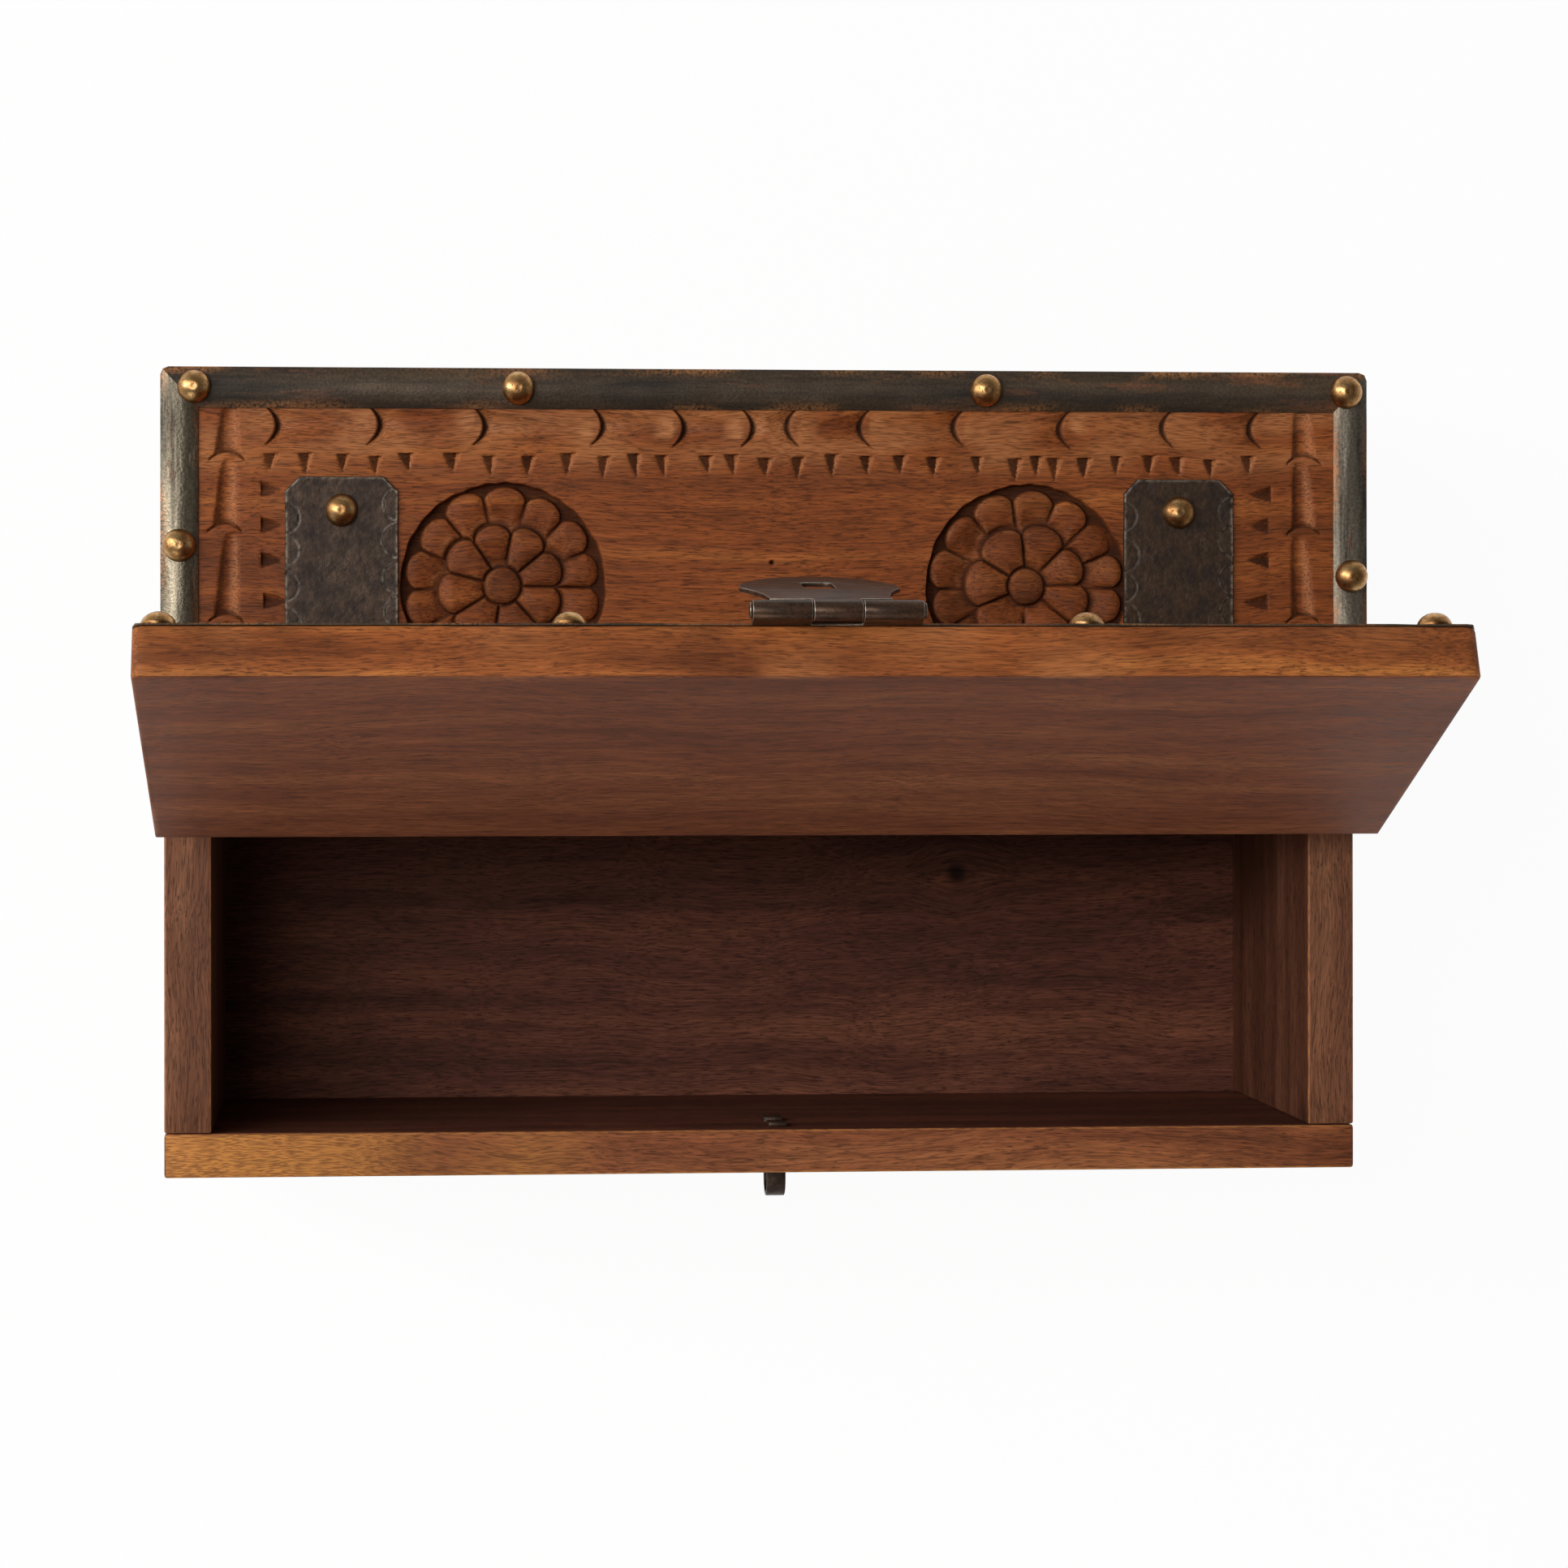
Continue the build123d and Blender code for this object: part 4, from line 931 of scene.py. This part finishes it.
def leafShell(seed, burrShare):
    # A flat leaf with cut far corners; each punch mark is a half circle sunk from the long edge
    thick, rounding = box["leafThick"], leaf["round"]
    flatLength = leaf["length"] - leaf["start"]
    cols, rows = int(2 * leaf["halfWide"] / leaf["step"]), int(flatLength / leaf["step"])
    u, v = np.meshgrid(np.linspace(-1, 1, cols), np.linspace(0, 1, rows))
    x, y = leafOutline(u, v, rounding)
    z = thick + leafLift(x, y, seed)
    rub = smooth(np.abs(u), 1 - leaf["rubWide"] / leaf["halfWide"], 1) * leaf["edgeRub"]
    rub = np.maximum(rub, smooth(v, 1 - leaf["rubWide"] / flatLength, 1) * leaf["endRub"])
    stain = np.zeros_like(x)
    draw = np.random.default_rng(seed)
    for side in (-1, 1):
        for index in range(leaf["stamps"]):
            place = leaf["length"] - leaf["stampFirst"] - leaf["stampPitch"] * index + draw.uniform(-1, 1)
            place = place - (0 if side > 0 else 3)
            radius = leaf["stampRadius"] + draw.uniform(-0.5, 0.5)
            away = np.hypot(x - side * (leaf["halfWide"] + 0.2), y - place)
            line = bell(away - radius, 0.26) * draw.uniform(0.6, 1.0)
            z = z - leaf["stampDepth"] * line - 0.10 * smooth(radius - away, 0, 0.6)
            rub = np.maximum(rub, burrShare * leaf["burr"][side] * bell(away - radius - 0.4, 0.24))
            stain = np.maximum(stain, leaf["stampStain"] * line)
    rim, rings = rimOf(rows, cols), []
    for inset, down in ((rounding * 0.3, rounding * 0.3), (0, rounding), (0, thick - 0.1), (rounding, thick)):
        px, py = leafOutline(u.ravel()[rim], v.ravel()[rim], inset)
        base = (thick + leafLift(px, py, seed)) * (1 - down / thick)
        rings.append(np.stack([edgeWander(px, py, seed), py, base], -1))
    top = np.stack([edgeWander(x, y, seed), y, z], -1)
    shell = Shell()
    shell.slab(top, gridFaces(rows, cols), rim, rings, [{}] * len(rings), rub=rub, stain=stain)
    return shell


inKnuckle = leaf["halfWide"] - leaf["knuckle"]
outerSpans = [(-leaf["halfWide"], -inKnuckle), (inKnuckle, leaf["halfWide"])]
innerSpans = [(leaf["gap"] - inKnuckle, inKnuckle - leaf["gap"])]
for side, x, seed, burrShare in zip(("left", "right"), box["hingeX"], (71, 72), (1.0, 0.5)):
    for boardName, turn, spans in (("rear", 1, outerSpans), ("lid", -1, innerSpans)):
        node = side + "_hinge_" + boardName + "_leaf"
        shell = leafShell(seed if turn > 0 else seed + 2, burrShare)
        for low, high in spans:
            rolledKnuckle(shell, low, high)
        shell.points = [points + (turn * x, -leaf["back"], 0) for points in shell.points]
        makePiece(node + "Iron", node, shell, topBoards[boardName], leafIron)
print("hinge leaves made")


def easedCopy(node, body, material, width, worn):
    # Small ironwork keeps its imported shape: doubles merged, flat faces joined, and a bevel on every edge
    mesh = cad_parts[node].data.copy()
    mesh.name = node + "Eased"
    work = bmesh.new()
    work.from_mesh(mesh)
    bmesh.ops.remove_doubles(work, verts=work.verts, dist=1e-6)
    bmesh.ops.dissolve_limit(work, angle_limit=radians(1), verts=work.verts, edges=work.edges)
    work.to_mesh(mesh)
    work.free()
    mesh.shade_smooth()
    mesh.materials.clear()
    mesh.materials.append(material)
    mesh.materials.append(worn)
    piece = bpy.data.objects.new(node + "Eased", mesh)
    bevel = piece.modifiers.new("easedEdges", "BEVEL")
    bevel.width, bevel.segments, bevel.material = width * mm, 2, 1
    bevel.limit_method, bevel.angle_limit = "ANGLE", radians(30)
    dress(piece, body, node)


for node, body, material, slotName, width, worn in (
        ("hasp_strap", "hasp", haspIron, "hinge_iron", 0.4, wornIron),
        ("hasp_plate", "lid", haspIron, "hinge_iron", 0.3, wornIron),
        ("hasp_staple", "box", leafIron, "hinge_iron", 0.25, leafIron),
        ("hasp_tacks", "lid", haspIron, "hinge_iron", 0.3, haspIron),
        ("hasp_pin", "lid", haspIron, "steel", 0.2, wornIron),
        ("left_hinge_pin", "box", leafIron, "steel", 0.2, leafIron),
        ("right_hinge_pin", "box", leafIron, "steel", 0.2, leafIron)):
    easedCopy(node, body, material, width, worn)
for node in ("front_wall_nails", "back_wall_nails", "bottom_nails", "rear_board_nails"):
    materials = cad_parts[node].data.materials
    for index in range(len(materials)):
        materials[index] = nailSteel
print("ironwork made")


# Floor, light and camera
studio = {
    "floorSize": 6.0, "paper": "#FAFAF8", "paperGlow": 0.95,   # the share of plain white in what is seen
    "wallsOfRoom": 0.45, "ceiling": 0.08, "rise": (0.1, 0.85),   # a room that is darker overhead
    "key": {"place": (-1.65, 0.55, 2.05), "aim": (0, 0.1, 0.1), "size": (1.0, 3.6), "power": 71.0},
    "fill": {"place": (-0.4, -1.1, 0.9), "aim": (0, 0, 0.15), "size": (1.0, 0.5), "power": 2.5},
}
# White paper: it takes the shadows, and is near plain white where it is looked at or mirrored
paper, tree = newMaterial("palePaper")
seen = 0.0
for kind in ("Camera", "Glossy", "Transmission"):
    ray = addNode(tree, "LightPath", out="Is " + kind + " Ray")
    seen = addNode(tree, "Math", (seen, ray), operation="MAXIMUM")
share = addNode(tree, "Math", (seen, studio["paperGlow"]), operation="MULTIPLY")
plain = addNode(tree, "BsdfDiffuse", {"Color": linear(studio["paper"])})
bright = addNode(tree, "Emission", {"Color": (1, 1, 1, 1), "Strength": 1.0})
addNode(tree, "OutputMaterial", {"Surface": addNode(tree, "MixShader", (share, plain, bright))})
side = studio["floorSize"] / 2
floorMesh = bpy.data.meshes.new("studioFloor")
floorCorners = [(-side, -side, 0), (side, -side, 0), (side, side, 0), (-side, side, 0)]
floorMesh.from_pydata(floorCorners, [], [(0, 1, 2, 3)])
floorMesh.materials.append(paper)
floor = bpy.data.objects.new("studioFloor", floorMesh)
bpy.context.scene.collection.objects.link(floor)

world = bpy.data.worlds.new("studioWorld")
bpy.context.scene.world = world
world.use_nodes = True
tree = world.node_tree
tree.nodes.clear()
seen = addNode(tree, "LightPath", out="Is Camera Ray")
rise = addNode(tree, "SeparateXYZ", (addNode(tree, "TexCoord", out="Generated"),), out="Z")
strength = addNode(tree, "MapRange", (rise, *studio["rise"], studio["wallsOfRoom"], studio["ceiling"]))
dim = addNode(tree, "Background", {"Color": (1, 1, 1, 1), "Strength": strength})
white = addNode(tree, "Background", {"Color": (1, 1, 1, 1), "Strength": 1.0})
addNode(tree, "OutputWorld", {"Surface": addNode(tree, "MixShader", (seen, dim, white))})

for name in ("key", "fill"):   # soft boxes, turned from their place to what they aim at
    light = studio[name]
    lamp = bpy.data.lights.new(name + "Softbox", "AREA")
    lamp.shape, lamp.energy = "RECTANGLE", light["power"]
    lamp.size, lamp.size_y = light["size"]
    softbox = bpy.data.objects.new(name + "Softbox", lamp)
    bpy.context.scene.collection.objects.link(softbox)
    turn = (Vector(light["place"]) - Vector(light["aim"])).to_track_quat("Z", "Y")
    softbox.matrix_world = Matrix.Translation(light["place"]) @ turn.to_matrix().to_4x4()

view = {"place": (-0.120051, 0.020835, 1.330532), "turns": (-0.0007, 0.0711, 0.0006), "lens": 87.68,
        "sensor": 36.0, "shift": (0.080, -0.050), "clipEnd": 20.0}
# The turns are those of the room as the camera sees it, so the camera's own turn is the reverse
turnX, turnY, turnZ = (Matrix.Rotation(angle, 3, axis) for angle, axis in zip(view["turns"], "XYZ"))
cameraData = bpy.data.cameras.new("overheadCamera")
cameraData.lens, cameraData.sensor_width, cameraData.clip_end = view["lens"], view["sensor"], view["clipEnd"]
cameraData.shift_x, cameraData.shift_y = view["shift"]
camera = bpy.data.objects.new("overheadCamera", cameraData)
bpy.context.scene.collection.objects.link(camera)
camera.matrix_world = Matrix.Translation(view["place"]) @ (turnZ @ turnY @ turnX).transposed().to_4x4()
bpy.context.scene.camera = camera
bpy.context.scene.view_settings.view_transform = "Standard"
print("studio made")
